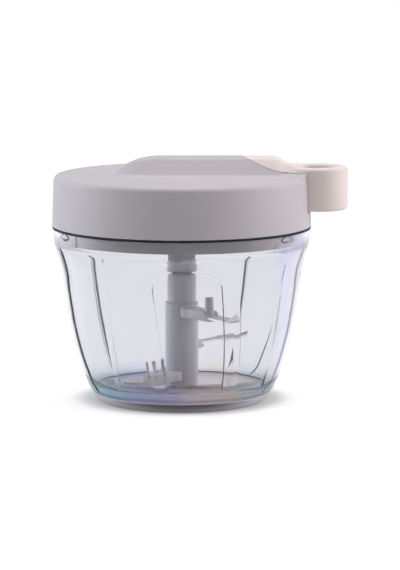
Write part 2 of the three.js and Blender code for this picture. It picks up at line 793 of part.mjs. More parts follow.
function lidCover() {
  const lip = ringCylinder(pocketRadius + lipWidth, lidTop - lidTopWall, lipTop)
    .intersect(rod(lidRadius - lidDraft, lidBottom, humpTop, bodyFacets));
  const outside = joined([lidOutside(), humpForm(0, lidTop - lidTopWall / 2), lip]);
  const cavity = humpForm(lidTopWall, lidTop - lidTopWall - overrun)
    .subtract(aboveParting(-lidTopWall, -lidTopWall))
    .subtract(ringCylinder(pocketOuter, lidBottom, humpTop));
  const pocketBox = ringCylinder(pocketOuter, pocketFloor - pocketWall, lidTop - lidTopWall / 2)
    .intersect(lidOutside());
  const shell = outside.subtract(lidInside()).subtract(cavity);
  const axleBossRadius = axleRadius + gap + axleBossWall;
  const axleBoss = rod(axleBossRadius, axleBossBottom, humpTop - lidTopWall / 2);
  const reach = handleReach + overrun;
  const pocket = joined([
    ringCylinder(pocketRadius, pocketFloor, humpTop + overrun),
    prism([
      [ringCentre, -pocketRadius], [reach, -pocketRadius],
      [reach, pocketRadius], [ringCentre, pocketRadius],
    ], pocketFloor, humpTop + overrun),
  ]);
  return joined([shell, pocketBox, axleBoss, ...coverBosses()])
    .subtract(joined([
      pocket,
      aboveParting(0, 0),
      rod(axleRadius + gap, axleBossBottom - overrun, axleTop + gap),
      alongHandle(eyeletRadius + gap, eyeletStart - overrun, pocketInner + overrun),
      ...coverPilots(),
    ]));
}

addPiece('lid_cover', lidCover(), lilacPlastic);

// Pull handle
function pullHandle() {
  const ring = revolve([
    [ringHole, ringBottom + ringEdge], [ringHole + ringEdge, ringBottom],
    [ringRadius - ringEdge, ringBottom], [ringRadius, ringBottom + ringEdge],
    [ringRadius, ringTop - ringEdge], [ringRadius - ringEdge, ringTop],
    [ringHole + ringEdge, ringTop], [ringHole, ringTop - ringEdge],
  ], bodyFacets).translate([ringCentre, 0, 0]);
  const bore = ringCylinder(ringHole, ringBottom - overrun, humpTop + overrun);
  const tongue = humpForm(0, lidTop - tongueRootSink)
    .intersect(aboveParting(slideGap, slideGap))
    .subtract(bore);
  const hole = alongHandle(cordRadius + slideGap, ringInner - overrun, ringCentre - ringHole);
  const knotRoom = alongHandle(knotRadius + slideGap, knotSeat, ringCentre - ringHole + ringEdge);
  return ring.add(tongue).subtract(hole).subtract(knotRoom);
}

addPiece('pull_handle', pullHandle(), creamPlastic);

const knotPlace = knotSeat + gap + knotRadius;
addPiece('cord_knot', solid(
  new THREE.SphereGeometry(knotRadius, smallFacets, smallFacets / 2).translate(knotPlace, 0, cordHeight),
), cordWhite);

// Lid base

// A pad with a ramp at its leading end and a stop behind it, seen along the radius
function lockPad() {
  const half = padWidth / 2;
  const top = plugBottom + padHeight;
  const stop = plugBottom + padStopHeight;
  const outline = [
    [-half, plugBottom], [half, plugBottom], [half, stop], [half - padStopWidth, stop],
    [half - padStopWidth, top], [padRamp - half, top],
  ];
  const outer = plugRadius + padRise;
  const block = prism(outline, 0, plugWall + padRise)
    .rotate([quarterTurn, 0, quarterTurn])
    .translate([plugRadius - plugWall, 0, 0]);
  return block.intersect(tubeOf(outer, plugRadius - padRise, plugBottom, stop, bodyFacets));
}

const earScrewSeat = housingBottom + earThickness + gap;
const earScrewTip = earScrewSeat - earScrewLength;

function lidBase() {
  const grooveRadius = sealInner - gap;
  const hole = bushRadius + gap;
  const flangeTop = flangeBottom + flangeThickness;
  const shell = revolve([
    [hole, plateBottom], [plugBore, plateBottom], [plugBore + plugEdge, plugBottom],
    [plugRadius, plugBottom], [plugRadius, sealBottom - gap], [grooveRadius, sealBottom - gap],
    [grooveRadius, sealBottom + sealHeight + gap], [plugRadius, sealBottom + sealHeight + gap],
    [plugRadius, flangeBottom], [flangeRadius, flangeBottom], [flangeRadius, flangeTop],
    [plugBore, flangeTop], [plugBore, plateTop], [hole, plateTop],
  ], bodyFacets);
  const posts = coverScrewAzimuths.map((azimuth) => placedAt(
    rod(coverPostRadius, plateBottom, coverPostTop), azimuth, coverScrewPlace,
  ));
  const earPosts = earAzimuths.map((azimuth) => placedAt(
    rod(earPostRadius, plateBottom, housingBottom - gap), azimuth, earPlace,
  ));
  const headRoom = screwHeadBottom + screwHeadHeight + gap;
  const holes = coverScrewAzimuths.map((azimuth) => placedAt(joined([
    rod(screwHeadRadius + gap, plugBottom - overrun, headRoom),
    rod(screwShankRadius + gap, plugBottom, coverPostTop + overrun),
  ]), azimuth, coverScrewPlace));
  const earHoles = earAzimuths.map((azimuth) => placedAt(
    rod(earScrewRadius + gap, earScrewTip - gap, housingBottom + overrun), azimuth, earPlace,
  ));
  const pocketRoom = ringCylinder(pocketOuter + gap, pocketFloor - pocketWall - gap, lidTop);
  return joined([shell, ...posts, ...earPosts, ...lockCopiesOf(lockPad())])
    .subtract(joined([...holes, ...earHoles, pocketRoom]));
}

addPiece('lid_base', lidBase(), lilacPlastic);

const sealTop = sealBottom + sealHeight;
addPiece('lid_seal', revolve([
  [sealInner, sealBottom], [sealOuter - sealLip, sealBottom],
  [sealOuter, (sealBottom + sealTop) / 2], [sealOuter - sealLip, sealTop], [sealInner, sealTop],
], bodyFacets), paleRubber);

coverScrewAzimuths.forEach((azimuth, k) => {
  const headTop = screwHeadBottom + screwHeadHeight;
  const screw = revolve([
    [0, screwHeadBottom], [screwHeadRadius, screwHeadBottom], [screwHeadRadius, headTop],
    [screwShankRadius, headTop], [screwShankRadius, screwTip], [0, screwTip],
  ], smallFacets);
  addPiece(`cover_screw_${k + 1}`, placedAt(screw, azimuth, coverScrewPlace), steel);
});

// Spool, cord and axle
addPiece('spool_axle', revolve([
  [0, axleBottom], [axleRadius, axleBottom], [axleRadius, axleTop - axleCrown],
  [axleRadius - axleCrown, axleTop], [0, axleTop],
], smallFacets), steel);

function spool() {
  const bore = axleRadius + gap;
  const reel = revolve([
    [bore, spoolArborBottom], [spoolArborRadius, spoolArborBottom],
    [spoolArborRadius, spoolBottom], [spoolFlangeRadius, spoolBottom],
    [spoolFlangeRadius, grooveLow], [spoolCoreRadius, grooveLow],
    [spoolCoreRadius, grooveHigh], [spoolFlangeRadius, grooveHigh],
    [spoolFlangeRadius, spoolTop], [bore, spoolTop],
  ]);
  const keyBottom = ratchetBottom + gap;
  const key = revolve([
    [bore, keyBottom], [spoolKeyRadius, keyBottom],
    [spoolKeyRadius, spoolArborBottom + spoolKeySink], [bore, spoolArborBottom + spoolKeySink],
  ], keySides);
  const through = rod(bore, keyBottom - overrun, spoolTop + overrun);
  return reel.add(key).subtract(through);
}
addPiece('spool', spool(), whitePlastic);

// The cord leaves the winding where its line to the eyelet touches the outer turn
const leaveAngle = Math.acos(windingOuter / eyeletStart);
class WindingCurve extends THREE.Curve {
  getPoint(share, target = new THREE.Vector3()) {
    const radius = mixed(windingInner, windingOuter, share);
    const turn = -leaveAngle - (1 - share) * windingTurns * fullTurn * radians;
    return target.set(radius * Math.cos(turn), radius * Math.sin(turn), cordHeight);
  }
}
const winding = new WindingCurve();
addPiece('cord_winding', cordAlong(
  winding, windingTurns * windingSegments, windingSides,
), cordWhite);

// The least gap between the turns, measured on points that lie more than half a turn apart
function leastWindingGap() {
  const points = winding.getPoints(windingTurns * windingSegments);
  let least = Infinity;
  points.forEach((point, i) => {
    points.slice(i + windingSegments / 2).forEach((other) => {
      least = Math.min(least, point.distanceTo(other) - 2 * cordRadius);
    });
  });
  return least;
}

const leavePoint = new THREE.Vector3(
  windingOuter * Math.cos(leaveAngle), -windingOuter * Math.sin(leaveAngle), cordHeight,
);
const bendPoint = new THREE.Vector3(eyeletStart - cordStraight, 0, cordHeight);
const cordEnd = new THREE.Vector3(knotSeat + gap / 2, 0, cordHeight);
function straightCord() {
  const toBend = bendPoint.clone().sub(leavePoint).normalize();
  const start = leavePoint.clone().addScaledVector(toBend, gap);
  const intoBend = bendPoint.clone().addScaledVector(toBend, -cordStraight);
  const outOfBend = bendPoint.clone().add(new THREE.Vector3(cordStraight - cordRadius, 0, 0));
  const path = new THREE.CurvePath();
  path.add(new THREE.LineCurve3(start, intoBend));
  path.add(new THREE.QuadraticBezierCurve3(intoBend, bendPoint, outOfBend));
  path.add(new THREE.LineCurve3(outOfBend, cordEnd));
  return cordAlong(path, windingSegments, windingSides);
}
addPiece('pull_cord', straightCord(), cordWhite);

// Eyelet pressed into the pocket's wall from inside the lid
function cordEyelet() {
  const eyeletBack = eyeletStart - gap - eyeletFlangeThickness;
  const bodyEnd = pocketInner - gap;
  const profile = [
    [eyeletBore, eyeletBack], [eyeletFlange, eyeletBack],
    [eyeletFlange, eyeletBack + eyeletFlangeThickness],
    [eyeletRadius, eyeletBack + eyeletFlangeThickness], [eyeletRadius, bodyEnd],
    [eyeletBore, bodyEnd],
  ];
  return revolve(profile, smallFacets).rotate([0, quarterTurn, 0]).translate([0, 0, cordHeight]);
}
addPiece('cord_eyelet', cordEyelet(), steel);

// Spring housing on three ears
function springHousing() {
  const floorTop = housingBottom + housingFloor;
  const housingBore = spoolArborRadius + gap + slideGap;
  const cup = revolve([
    [housingBore, housingBottom], [housingOuter, housingBottom], [housingOuter, housingTop],
    [housingOuter - housingWall, housingTop], [housingOuter - housingWall, floorTop],
    [housingBore, floorTop],
  ]);
  const inside = rod(housingOuter - housingWall, floorTop, housingTop + overrun, turnedFacets);
  const ears = earAzimuths.map((azimuth) => placedAt(
    rod(earRadius, housingBottom, housingBottom + earThickness), azimuth, earPlace,
  ));
  const holes = earAzimuths.map((azimuth) => placedAt(
    rod(earScrewRadius + gap, housingBottom - overrun, housingBottom + overrun), azimuth, earPlace,
  ));
  return joined([cup, joined(ears).subtract(inside)]).subtract(joined(holes));
}
addPiece('spring_housing', springHousing(), whitePlastic);

earAzimuths.forEach((azimuth, k) => {
  const headTop = earScrewSeat + earScrewHeadHeight;
  const screw = revolve([
    [0, earScrewTip], [earScrewRadius, earScrewTip], [earScrewRadius, earScrewSeat],
    [earScrewHead, earScrewSeat], [earScrewHead, headTop], [0, headTop],
  ], smallFacets);
  addPiece(`housing_screw_${k + 1}`, placedAt(screw, azimuth, earPlace), steel);
});

// Flat spiral spring between the spool's arbor and the housing's wall
function recoilSpring() {
  const inner = spoolArborRadius + gap + springThickness / 2;
  const outer = housingOuter - housingWall - gap - springThickness / 2;
  const count = springTurns * springSegments;
  const edge = (offset) => Array.from({ length: count + 1 }, (_, k) => {
    const radius = mixed(inner, outer, k / count) + offset;
    const turn = (k / springSegments) * fullTurn * radians;
    return [radius * Math.cos(turn), radius * Math.sin(turn)];
  });
  const outline = [...edge(springThickness / 2), ...edge(-springThickness / 2).reverse()];
  const bottom = housingBottom + housingFloor + gap;
  return prism(outline, bottom, housingTop - springRim);
}
addPiece('recoil_spring', recoilSpring(), springSteel);

// Drive bush in the lid base
const bushBottom = plateBottom - gap;
const bushFlangeRadius = bushRadius + bushFlangeWidth;
addPiece('drive_bush', revolve([
  [hubShaftRadius + gap, bushBottom], [bushRadius, bushBottom], [bushRadius, plateTop + gap],
  [bushFlangeRadius, plateTop + gap], [bushFlangeRadius, bushFlangeTop],
  [hubShaftRadius + gap, bushFlangeTop],
]), whitePlastic);

// Drive hub: a cup for the pawls, a shaft through the bush and a spindle with two vanes
function pawlPosts(radius, bottom, top) {
  return [0, fullTurn / 2].map((azimuth) => placedAt(rod(radius, bottom, top), azimuth, pawlPlace));
}

function driveHub() {
  const rimInner = hubRadius - hubRimWall;
  const body = revolve([
    [0, spindleBottom], [spindleRadius, spindleBottom], [spindleRadius, hubShaftBottom],
    [hubShaftRadius, hubShaftBottom], [hubShaftRadius, hubDiscBottom],
    [hubRadius, hubDiscBottom], [hubRadius, hubRimTop], [rimInner, hubRimTop],
    [rimInner, hubDiscTop], [0, hubDiscTop],
  ]);
  const half = spindleVaneWidth / 2;
  const vane = prism([
    [0, -half], [spindleVaneOuter, -half], [spindleVaneOuter, half], [0, half],
  ], spindleBottom, hubShaftBottom + spindleVaneWidth);
  const vanes = [];
  for (let k = 0; k < dogCount; k += 1) {
    vanes.push(placedAt(vane, (k * fullTurn) / dogCount - dogLag));
  }
  const bore = rod(axleRadius + gap, axleBottom - gap, hubDiscTop + overrun);
  const posts = pawlPosts(pawlPostRadius, hubDiscBottom, ratchetBottom + pawlThickness);
  return joined([body, ...vanes]).subtract(bore).add(joined(posts));
}
addPiece('drive_hub', driveHub(), greyPlastic);

// Ratchet wheel on the spool's key: saw teeth whose steep faces push the pawls
function ratchetWheel() {
  const outline = [];
  for (let k = 0; k < ratchetTeeth; k += 1) {
    const start = (k / ratchetTeeth) * fullTurn * radians;
    outline.push([ratchetTip * Math.cos(start), ratchetTip * Math.sin(start)]);
    outline.push([ratchetRoot * Math.cos(start), ratchetRoot * Math.sin(start)]);
  }
  const wheel = prism(outline, ratchetBottom, ratchetTop);
  const keyHole = rod(spoolKeyRadius + gap, ratchetBottom - overrun, ratchetTop + overrun, keySides);
  return wheel.subtract(keyHole);
}
addPiece('ratchet_wheel', ratchetWheel(), steel);

// A pawl hangs on its post and leans its nose into the teeth
function pawl() {
  const tilt = pawlAngle * radians;
  const along = [Math.cos(tilt), Math.sin(tilt)];
  const across = [-along[1], along[0]];
  const at = (s, t) => [pawlPlace + along[0] * s + across[0] * t, along[1] * s + across[1] * t];
  const lever = prism([
    at(0, -pawlEyeRadius), at(pawlReach, -pawlNoseHalf), at(pawlReach, pawlNoseHalf),
    at(0, pawlEyeRadius),
  ], ratchetBottom, ratchetBottom + pawlThickness);
  const eye = rod(pawlEyeRadius, ratchetBottom, ratchetBottom + pawlThickness)
    .translate([pawlPlace, 0, 0]);
  const hole = rod(pawlPostRadius + gap, hubDiscTop - overrun, hubRimTop + overrun)
    .translate([pawlPlace, 0, 0]);
  return lever.add(eye).subtract(hole);
}
['pawl_a', 'pawl_b'].forEach((name, k) => {
  addPiece(name, placedAt(pawl(), (k * fullTurn) / 2), steel);
});

const woundLength = windingTurns * Math.PI * (windingInner + windingOuter);
console.log(`cord: ${woundLength.toFixed(0)} mm wound for a pull of ${pullRange} mm, `
  + `least gap between turns ${leastWindingGap().toFixed(2)} mm`);

export default chopper;
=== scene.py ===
import math

import bpy
import numpy as np
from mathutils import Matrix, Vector


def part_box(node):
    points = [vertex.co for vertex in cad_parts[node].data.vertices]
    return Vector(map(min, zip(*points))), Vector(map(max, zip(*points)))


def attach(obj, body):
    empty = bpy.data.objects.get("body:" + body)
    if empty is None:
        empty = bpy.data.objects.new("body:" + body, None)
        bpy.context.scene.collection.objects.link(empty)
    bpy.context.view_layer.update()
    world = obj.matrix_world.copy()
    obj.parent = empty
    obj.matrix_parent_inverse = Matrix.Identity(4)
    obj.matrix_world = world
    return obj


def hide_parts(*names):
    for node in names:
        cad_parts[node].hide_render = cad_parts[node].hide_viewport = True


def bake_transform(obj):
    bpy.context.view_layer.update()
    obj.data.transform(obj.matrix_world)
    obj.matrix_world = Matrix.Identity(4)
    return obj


bl_info = {
    "name": "Pull-Cord Food Chopper",
    "version": (1, 0, 0),
    "blender": (4, 5, 0),
    "location": "3D View > Sidebar > Chopper",
    "description": "Models the visible pieces of a pull-cord food chopper and its studio",
    "category": "Object",
}

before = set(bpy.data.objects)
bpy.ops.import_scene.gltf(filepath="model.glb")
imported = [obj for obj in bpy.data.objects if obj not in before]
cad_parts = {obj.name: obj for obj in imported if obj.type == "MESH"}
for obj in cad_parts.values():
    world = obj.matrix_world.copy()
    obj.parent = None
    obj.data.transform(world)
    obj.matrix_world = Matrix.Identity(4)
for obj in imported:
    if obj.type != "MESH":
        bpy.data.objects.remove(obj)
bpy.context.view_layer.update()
RING_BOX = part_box("base_ring")
AXIS = (RING_BOX[0].x + RING_BOX[1].x) / 2
MM = 0.001

# Heights and radii of the real pieces in millimetres, as in the CAD source
FOOT_HEIGHT = 5.1
FOOT_RADIUS = 45.2
COLLAR_HEIGHT = 79
COLLAR_RADIUS = 63.9
MOUTH_HEIGHT = 88.3
# Each crease's azimuth at the foot and at the collar, and its share of the crease rise
CREASES = ((-36.9, -36.9, 0.35), (53.8, 53.8, 0), (148, 145, 1.2), (229.6, 231.9, 1.9))
SIDE_SHARES = (
    (0, 0), (0.05, 0.11), (0.14, 0.245), (0.22, 0.355), (0.34, 0.487), (0.46, 0.594),
    (0.59, 0.679), (0.71, 0.748), (0.8, 0.792), (0.86, 0.845), (0.92, 0.91), (1, 1),
)
# A painted dark streak at the back left, standing in for shade seen from inside the bowl, as (azimuth, half
# width) low and high, and its heights
DARK_STREAK_LINE = ((124, 1.1), (118, 0.5))
DARK_STREAK_LOW, DARK_STREAK_RUN = 7.5, 27.5
BAND_TOP = 75.6
BAND_CORNER = 12.5
LOCK_AZIMUTHS = (55, 175, 295)
LID_RADIUS = 65
LID_BOTTOM = 88.6
LID_TOP = 114
HUMP_HEIGHT = 9.5
HUMP_NOSE_END = -11
HUMP_NOSE = 23
HUMP_FLAT_END = 47.9
# Past the flat's end: how far out, and the share of the drop to the ring's top
HUMP_DROP = (
    (-3, 0), (-1, 0.02), (0.6, 0.14), (2.4, 0.4), (6.4, 0.77), (10.4, 0.93), (15, 1.0), (20, 1.04),
)
TONGUE_SPREAD = (4.6, 10.4)
RING_CENTRE = 67.5
RING_TOP = 118.3
RING_BOTTOM = 96.6
POCKET_RADIUS = 16.15
PARTING = ((29.6, 123.5), (35.8, 120.75), (41.9, 118.1), (47.9, 116.2), (53.4, 115.7))
LIP_TOP = 115.55
POCKET_FLOOR = 96.2
POCKET_WALL_RADIUS = 18.1
# Cutting blocks reach this far out and up, past the whole lid
CLEAR_OUT = 95
CLEAR_ABOVE = 135
CORD_HEIGHT = 107.35
WINDING_INNER, WINDING_OUTER, WINDING_TURNS = 16.8, 24.3, 3
EYELET = 49.4
BLADES = (
    ("upper_blade", 45.4, 35, 49.04, 29, True),
    ("middle_blade", 28, 138, 47.47, 12, False),
    ("lower_blade", 13.4, 322, 43.5, 29, True),
)


class ChopperSizes(bpy.types.PropertyGroup):
    """Sizes of the moulded detail"""

    crease_rise: bpy.props.FloatProperty(
        name="Crease rise", description="Height of the rounded rib on each corner of the bowl",
        default=0.55 * MM, unit="LENGTH", subtype="DISTANCE")
    band_rise: bpy.props.FloatProperty(
        name="Band rise", description="Height of the arched band inside the bowl's front",
        default=0.6 * MM, unit="LENGTH", subtype="DISTANCE")
    bump_rise: bpy.props.FloatProperty(
        name="Lock bump rise", description="Height of the oval lock bumps inside the collar",
        default=0.6 * MM, unit="LENGTH", subtype="DISTANCE")
    lid_round: bpy.props.FloatProperty(
        name="Lid rounding", description="Radius of the lid's upper edge",
        default=2.8 * MM, unit="LENGTH", subtype="DISTANCE")
    hump_flare: bpy.props.FloatProperty(
        name="Hump flare", description="Radius where the hump flows into the lid",
        default=3 * MM, unit="LENGTH", subtype="DISTANCE")
    ring_round: bpy.props.FloatProperty(
        name="Ring rounding", description="Radius of the finger ring's edges",
        default=1.6 * MM, unit="LENGTH", subtype="DISTANCE")


class ChopperColours(bpy.types.PropertyGroup):
    """Colours of the plastics, the rubber and the floor"""

    lid: bpy.props.FloatVectorProperty(
        name="Lid", description="Colour of the lid's plastic",
        size=3, subtype="COLOR", default=(0.63, 0.59, 0.625))
    handle: bpy.props.FloatVectorProperty(
        name="Handle", description="Colour of the pull handle",
        size=3, subtype="COLOR", default=(0.94, 0.835, 0.795))
    bowl: bpy.props.FloatVectorProperty(
        name="Bowl tint", description="Tint of the clear bowl",
        size=3, subtype="COLOR", default=(0.81, 0.81, 0.84))
    shaft: bpy.props.FloatVectorProperty(
        name="Shaft", description="Colour of the blade shaft and its arms",
        size=3, subtype="COLOR", default=(0.54, 0.525, 0.595))
    ring: bpy.props.FloatVectorProperty(
        name="Base ring", description="Colour of the rubber ring under the bowl",
        size=3, subtype="COLOR", default=(0.105, 0.085, 0.105))
    floor: bpy.props.FloatVectorProperty(
        name="Floor", description="Colour of the floor and the backdrop",
        size=3, subtype="COLOR", default=(0.6, 0.6, 0.6))


# Curves and outlines

def mixed(start, end, share):
    return start + (end - start) * share


def eased(low, high, value):
    """A smooth step from 0 at low to 1 at high, for numbers and arrays."""
    share = np.clip((value - low) / (high - low), 0, 1)
    return share * share * (3 - 2 * share)


def curve_through(points, count):
    """Points on a smooth curve through all the given points, as an array."""
    points = np.array(points, float)
    runs = np.linalg.norm(np.diff(points, axis=0), axis=1)
    places = np.concatenate([[0], np.cumsum(runs)])
    slopes = np.gradient(points, places, axis=0)
    result = []
    for place in np.linspace(0, places[-1], count):
        k = min(int(np.searchsorted(places, place, side="right")) - 1, len(points) - 2)
        run = places[k + 1] - places[k]
        t = (place - places[k]) / run
        result.append(
            (2 * t**3 - 3 * t**2 + 1) * points[k] + (t**3 - 2 * t**2 + t) * run * slopes[k]
            + (3 * t**2 - 2 * t**3) * points[k + 1] + (t**3 - t**2) * run * slopes[k + 1])
    return np.array(result)


def rounded(corners, closed, steps=5):
    """An outline of (x, y) or (x, y, radius) corners with arcs at the corners that have a radius."""
    count = len(corners)
    outline = []
    for k, corner in enumerate(corners):
        here = np.array(corner[:2], float)
        radius = corner[2] if len(corner) > 2 else 0
        if radius == 0 or (not closed and k in (0, count - 1)):
            outline.append(tuple(here))
            continue
        before = np.array(corners[k - 1][:2], float) - here
        after = np.array(corners[(k + 1) % count][:2], float) - here
        before /= np.linalg.norm(before)
        after /= np.linalg.norm(after)
        half = math.acos(float(np.clip(before @ after, -1, 1))) / 2
        centre = here + (before + after) / np.linalg.norm(before + after) * radius / math.sin(half)
        start = here + before * radius / math.tan(half) - centre
        end = here + after * radius / math.tan(half) - centre
        sweep = math.atan2(start[0] * end[1] - start[1] * end[0], start @ end)
        for step in range(steps + 1):
            turn = sweep * step / steps
            outline.append((
                centre[0] + start[0] * math.cos(turn) - start[1] * math.sin(turn),
                centre[1] + start[0] * math.sin(turn) + start[1] * math.cos(turn)))
    return outline


# Modelling, as by hand with Blender's operators

def deselect_all():
    bpy.ops.object.select_all(action="DESELECT")


def select_only(piece):
    deselect_all()
    piece.select_set(True)
    bpy.context.view_layer.objects.active = piece


def close_seams(piece):
    """Merges doubled points, deletes edges without faces and turns all faces outwards."""
    select_only(piece)
    bpy.ops.object.mode_set(mode="EDIT")
    bpy.ops.mesh.select_all(action="SELECT")
    bpy.ops.mesh.remove_doubles(threshold=1e-6)
    bpy.ops.mesh.delete_loose()
    bpy.ops.mesh.select_all(action="SELECT")
    bpy.ops.mesh.normals_make_consistent(inside=False)
    bpy.ops.object.mode_set(mode="OBJECT")
    return piece


def chain(outline, lift):
    """A new object with a chain of edges through an outline. lift makes an outline point a place."""
    deselect_all()
    bpy.ops.mesh.primitive_plane_add(size=MM)
    piece = bpy.context.object
    places = [Vector(lift(*point)) * MM for point in outline]
    bpy.ops.object.mode_set(mode="EDIT")
    bpy.ops.mesh.merge(type="CENTER")
    bpy.ops.transform.translate(value=places[0])
    for start, end in zip(places, places[1:]):
        bpy.ops.mesh.extrude_region_move(TRANSFORM_OT_translate={"value": end - start})
    return piece


def turned(name, outline, steps=128):
    """A closed outline of (radius, height) spun about the bowl's axis."""
    piece = chain(list(outline) + [outline[0]], lambda radius, height: (radius, 0, height))
    bpy.ops.mesh.select_all(action="SELECT")
    bpy.ops.mesh.spin(steps=steps, angle=math.tau, center=(0, 0, 0), axis=(0, 0, 1))
    bpy.ops.object.mode_set(mode="OBJECT")
    piece.name = name
    return close_seams(piece)


def extruded(name, outline, lift, depth):
    """A flat outline filled and drawn out along depth."""
    piece = chain(outline, lift)
    bpy.ops.mesh.select_all(action="SELECT")
    bpy.ops.mesh.edge_face_add()
    bpy.ops.mesh.extrude_region_move(TRANSFORM_OT_translate={"value": Vector(depth) * MM})
    bpy.ops.object.mode_set(mode="OBJECT")
    piece.name = name
    return close_seams(piece)


def plate(name, outline, bottom, top):
    return extruded(name, outline, lambda x, y: (x, y, bottom), (0, 0, top - bottom))


def slab(name, outline, half):
    return extruded(name, outline, lambda x, z: (x, -half, z), (0, 2 * half, 0))


def woven(name, table):
    """A grid whose points are moved to the places in a table of rows of points."""
    table = np.array(table, float) * MM
    columns, rows = table.shape[0] - 1, table.shape[1] - 1
    deselect_all()
    bpy.ops.mesh.primitive_grid_add(x_subdivisions=columns, y_subdivisions=rows, size=1)
    piece = bpy.context.object
    piece.name = name
    mesh = piece.data
    flat = np.empty(len(mesh.vertices) * 3, np.float32)
    mesh.vertices.foreach_get("co", flat)
    flat = flat.reshape(-1, 3)
    across = np.rint((flat[:, 0] + 0.5) * columns).astype(int)
    along = np.rint((flat[:, 1] + 0.5) * rows).astype(int)
    mesh.vertices.foreach_set("co", table[across, along].astype(np.float32).ravel())
    mesh.update()
    return close_seams(piece)


def lofted(name, loops, capped=True):
    """A body through closed loops of points. Without caps, the last loop meets the first."""
    loops = [np.array(loop, float) for loop in loops]
    if capped:
        first, last = loops[0], loops[-1]
        loops = [first * 0 + first.mean(0), *loops, last * 0 + last.mean(0)]
    return woven(name, [np.vstack([loop, loop[:1]]) for loop in loops])


def tube(name, path, radius, sides=12, strands=0, twist=0.0, closed=False):
    """A tube along a path of points, with twisted strands if asked."""
    path = np.array(path, float)
    ahead = np.roll(path, -1, 0) - np.roll(path, 1, 0) if closed else np.gradient(path, axis=0)
    ahead /= np.linalg.norm(ahead, axis=1)[:, None]
    runs = np.concatenate([[0], np.cumsum(np.linalg.norm(np.diff(path, axis=0), axis=1))])
    side = np.cross(ahead[0], (0, 0, 1) if abs(ahead[0][2]) < 0.9 else (1, 0, 0))
    loops = []
    for place, direction, run in zip(path, ahead, runs):
        side = side - direction * (side @ direction)
        side /= np.linalg.norm(side)
        up = np.cross(direction, side)
        turns = np.arange(sides) / sides * math.tau
        grown = radius + turns * 0
        if strands:
            grown = radius * (1 - 0.14 * (0.5 - 0.5 * np.cos(strands * (turns - twist * run))))
        loops.append(
            place + np.outer(np.cos(turns) * grown, side) + np.outer(np.sin(turns) * grown, up))
    if closed:
        loops.append(loops[0])
    return lofted(name, loops, capped=not closed)


def merged(base, other, operation):
    """base joined with, cut by or kept inside other, which is used up."""
    select_only(base)
    boolean = base.modifiers.new("Shape", "BOOLEAN")
    boolean.object = other
    boolean.operation = operation
    boolean.solver = "MANIFOLD"
    bpy.ops.object.modifier_apply(modifier=boolean.name)
    bpy.data.objects.remove(other)
    return base


def softened(piece, width, angle=40):
    """Rounds the edges that are sharper than an angle."""
    select_only(piece)
    bevel = piece.modifiers.new("Soft edges", "BEVEL")
    bevel.width = width * MM
    bevel.segments = 2
    bevel.limit_method = "ANGLE"
    bevel.angle_limit = math.radians(angle)
    bpy.ops.object.modifier_apply(modifier=bevel.name)
    return piece


def moved(piece, x=0.0, azimuth=None):
    """Shifts a piece's mesh along X, then turns its +X to an azimuth counted from the front."""
    mesh = piece.data
    flat = np.empty(len(mesh.vertices) * 3, np.float32)
    mesh.vertices.foreach_get("co", flat)
    places = flat.reshape(-1, 3) + np.array((x, 0, 0), np.float32) * MM
    if azimuth is not None:
        turn = math.radians(azimuth - 90)
        cosine, sine = math.cos(turn), math.sin(turn)
        places = np.column_stack([
            places[:, 0] * cosine - places[:, 1] * sine,
            places[:, 0] * sine + places[:, 1] * cosine, places[:, 2]])
    mesh.vertices.foreach_set("co", places.astype(np.float32).ravel())
    mesh.update()
    return piece


def finished(piece, material, body, nodes, angle=35):
    """Smooths a piece, places it on the bowl's axis and says what it stands for."""
    moved(piece, x=AXIS / MM)
    select_only(piece)
    bpy.ops.object.shade_smooth_by_angle(angle=math.radians(angle))
    piece.data.materials.clear()
    piece.data.materials.append(material)
    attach(piece, body)
    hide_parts(*nodes)
    return piece


# Materials

class Field:
    """An output of a material's node, so that its maths reads as Python."""

    def __init__(self, finish, socket):
        self.finish = finish
        self.socket = socket

    def _maths(self, operation, *values):
        return self.finish.add("ShaderNodeMath", {"operation": operation}, dict(enumerate(values)))

    def __add__(self, other):
        return self._maths("ADD", self, other)

    def __radd__(self, other):
        return self._maths("ADD", other, self)

    def __sub__(self, other):
        return self._maths("SUBTRACT", self, other)

    def __rsub__(self, other):
        return self._maths("SUBTRACT", other, self)

    def __mul__(self, other):
        return self._maths("MULTIPLY", self, other)

    def __rmul__(self, other):
        return self._maths("MULTIPLY", other, self)

    def eased(self, low, high):
        """A smooth step of this value from 0 at low to 1 at high."""
        return self.finish.add(
            "ShaderNodeMapRange", {"interpolation_type": "SMOOTHSTEP"},
            {"Value": self, "From Min": low, "From Max": high})


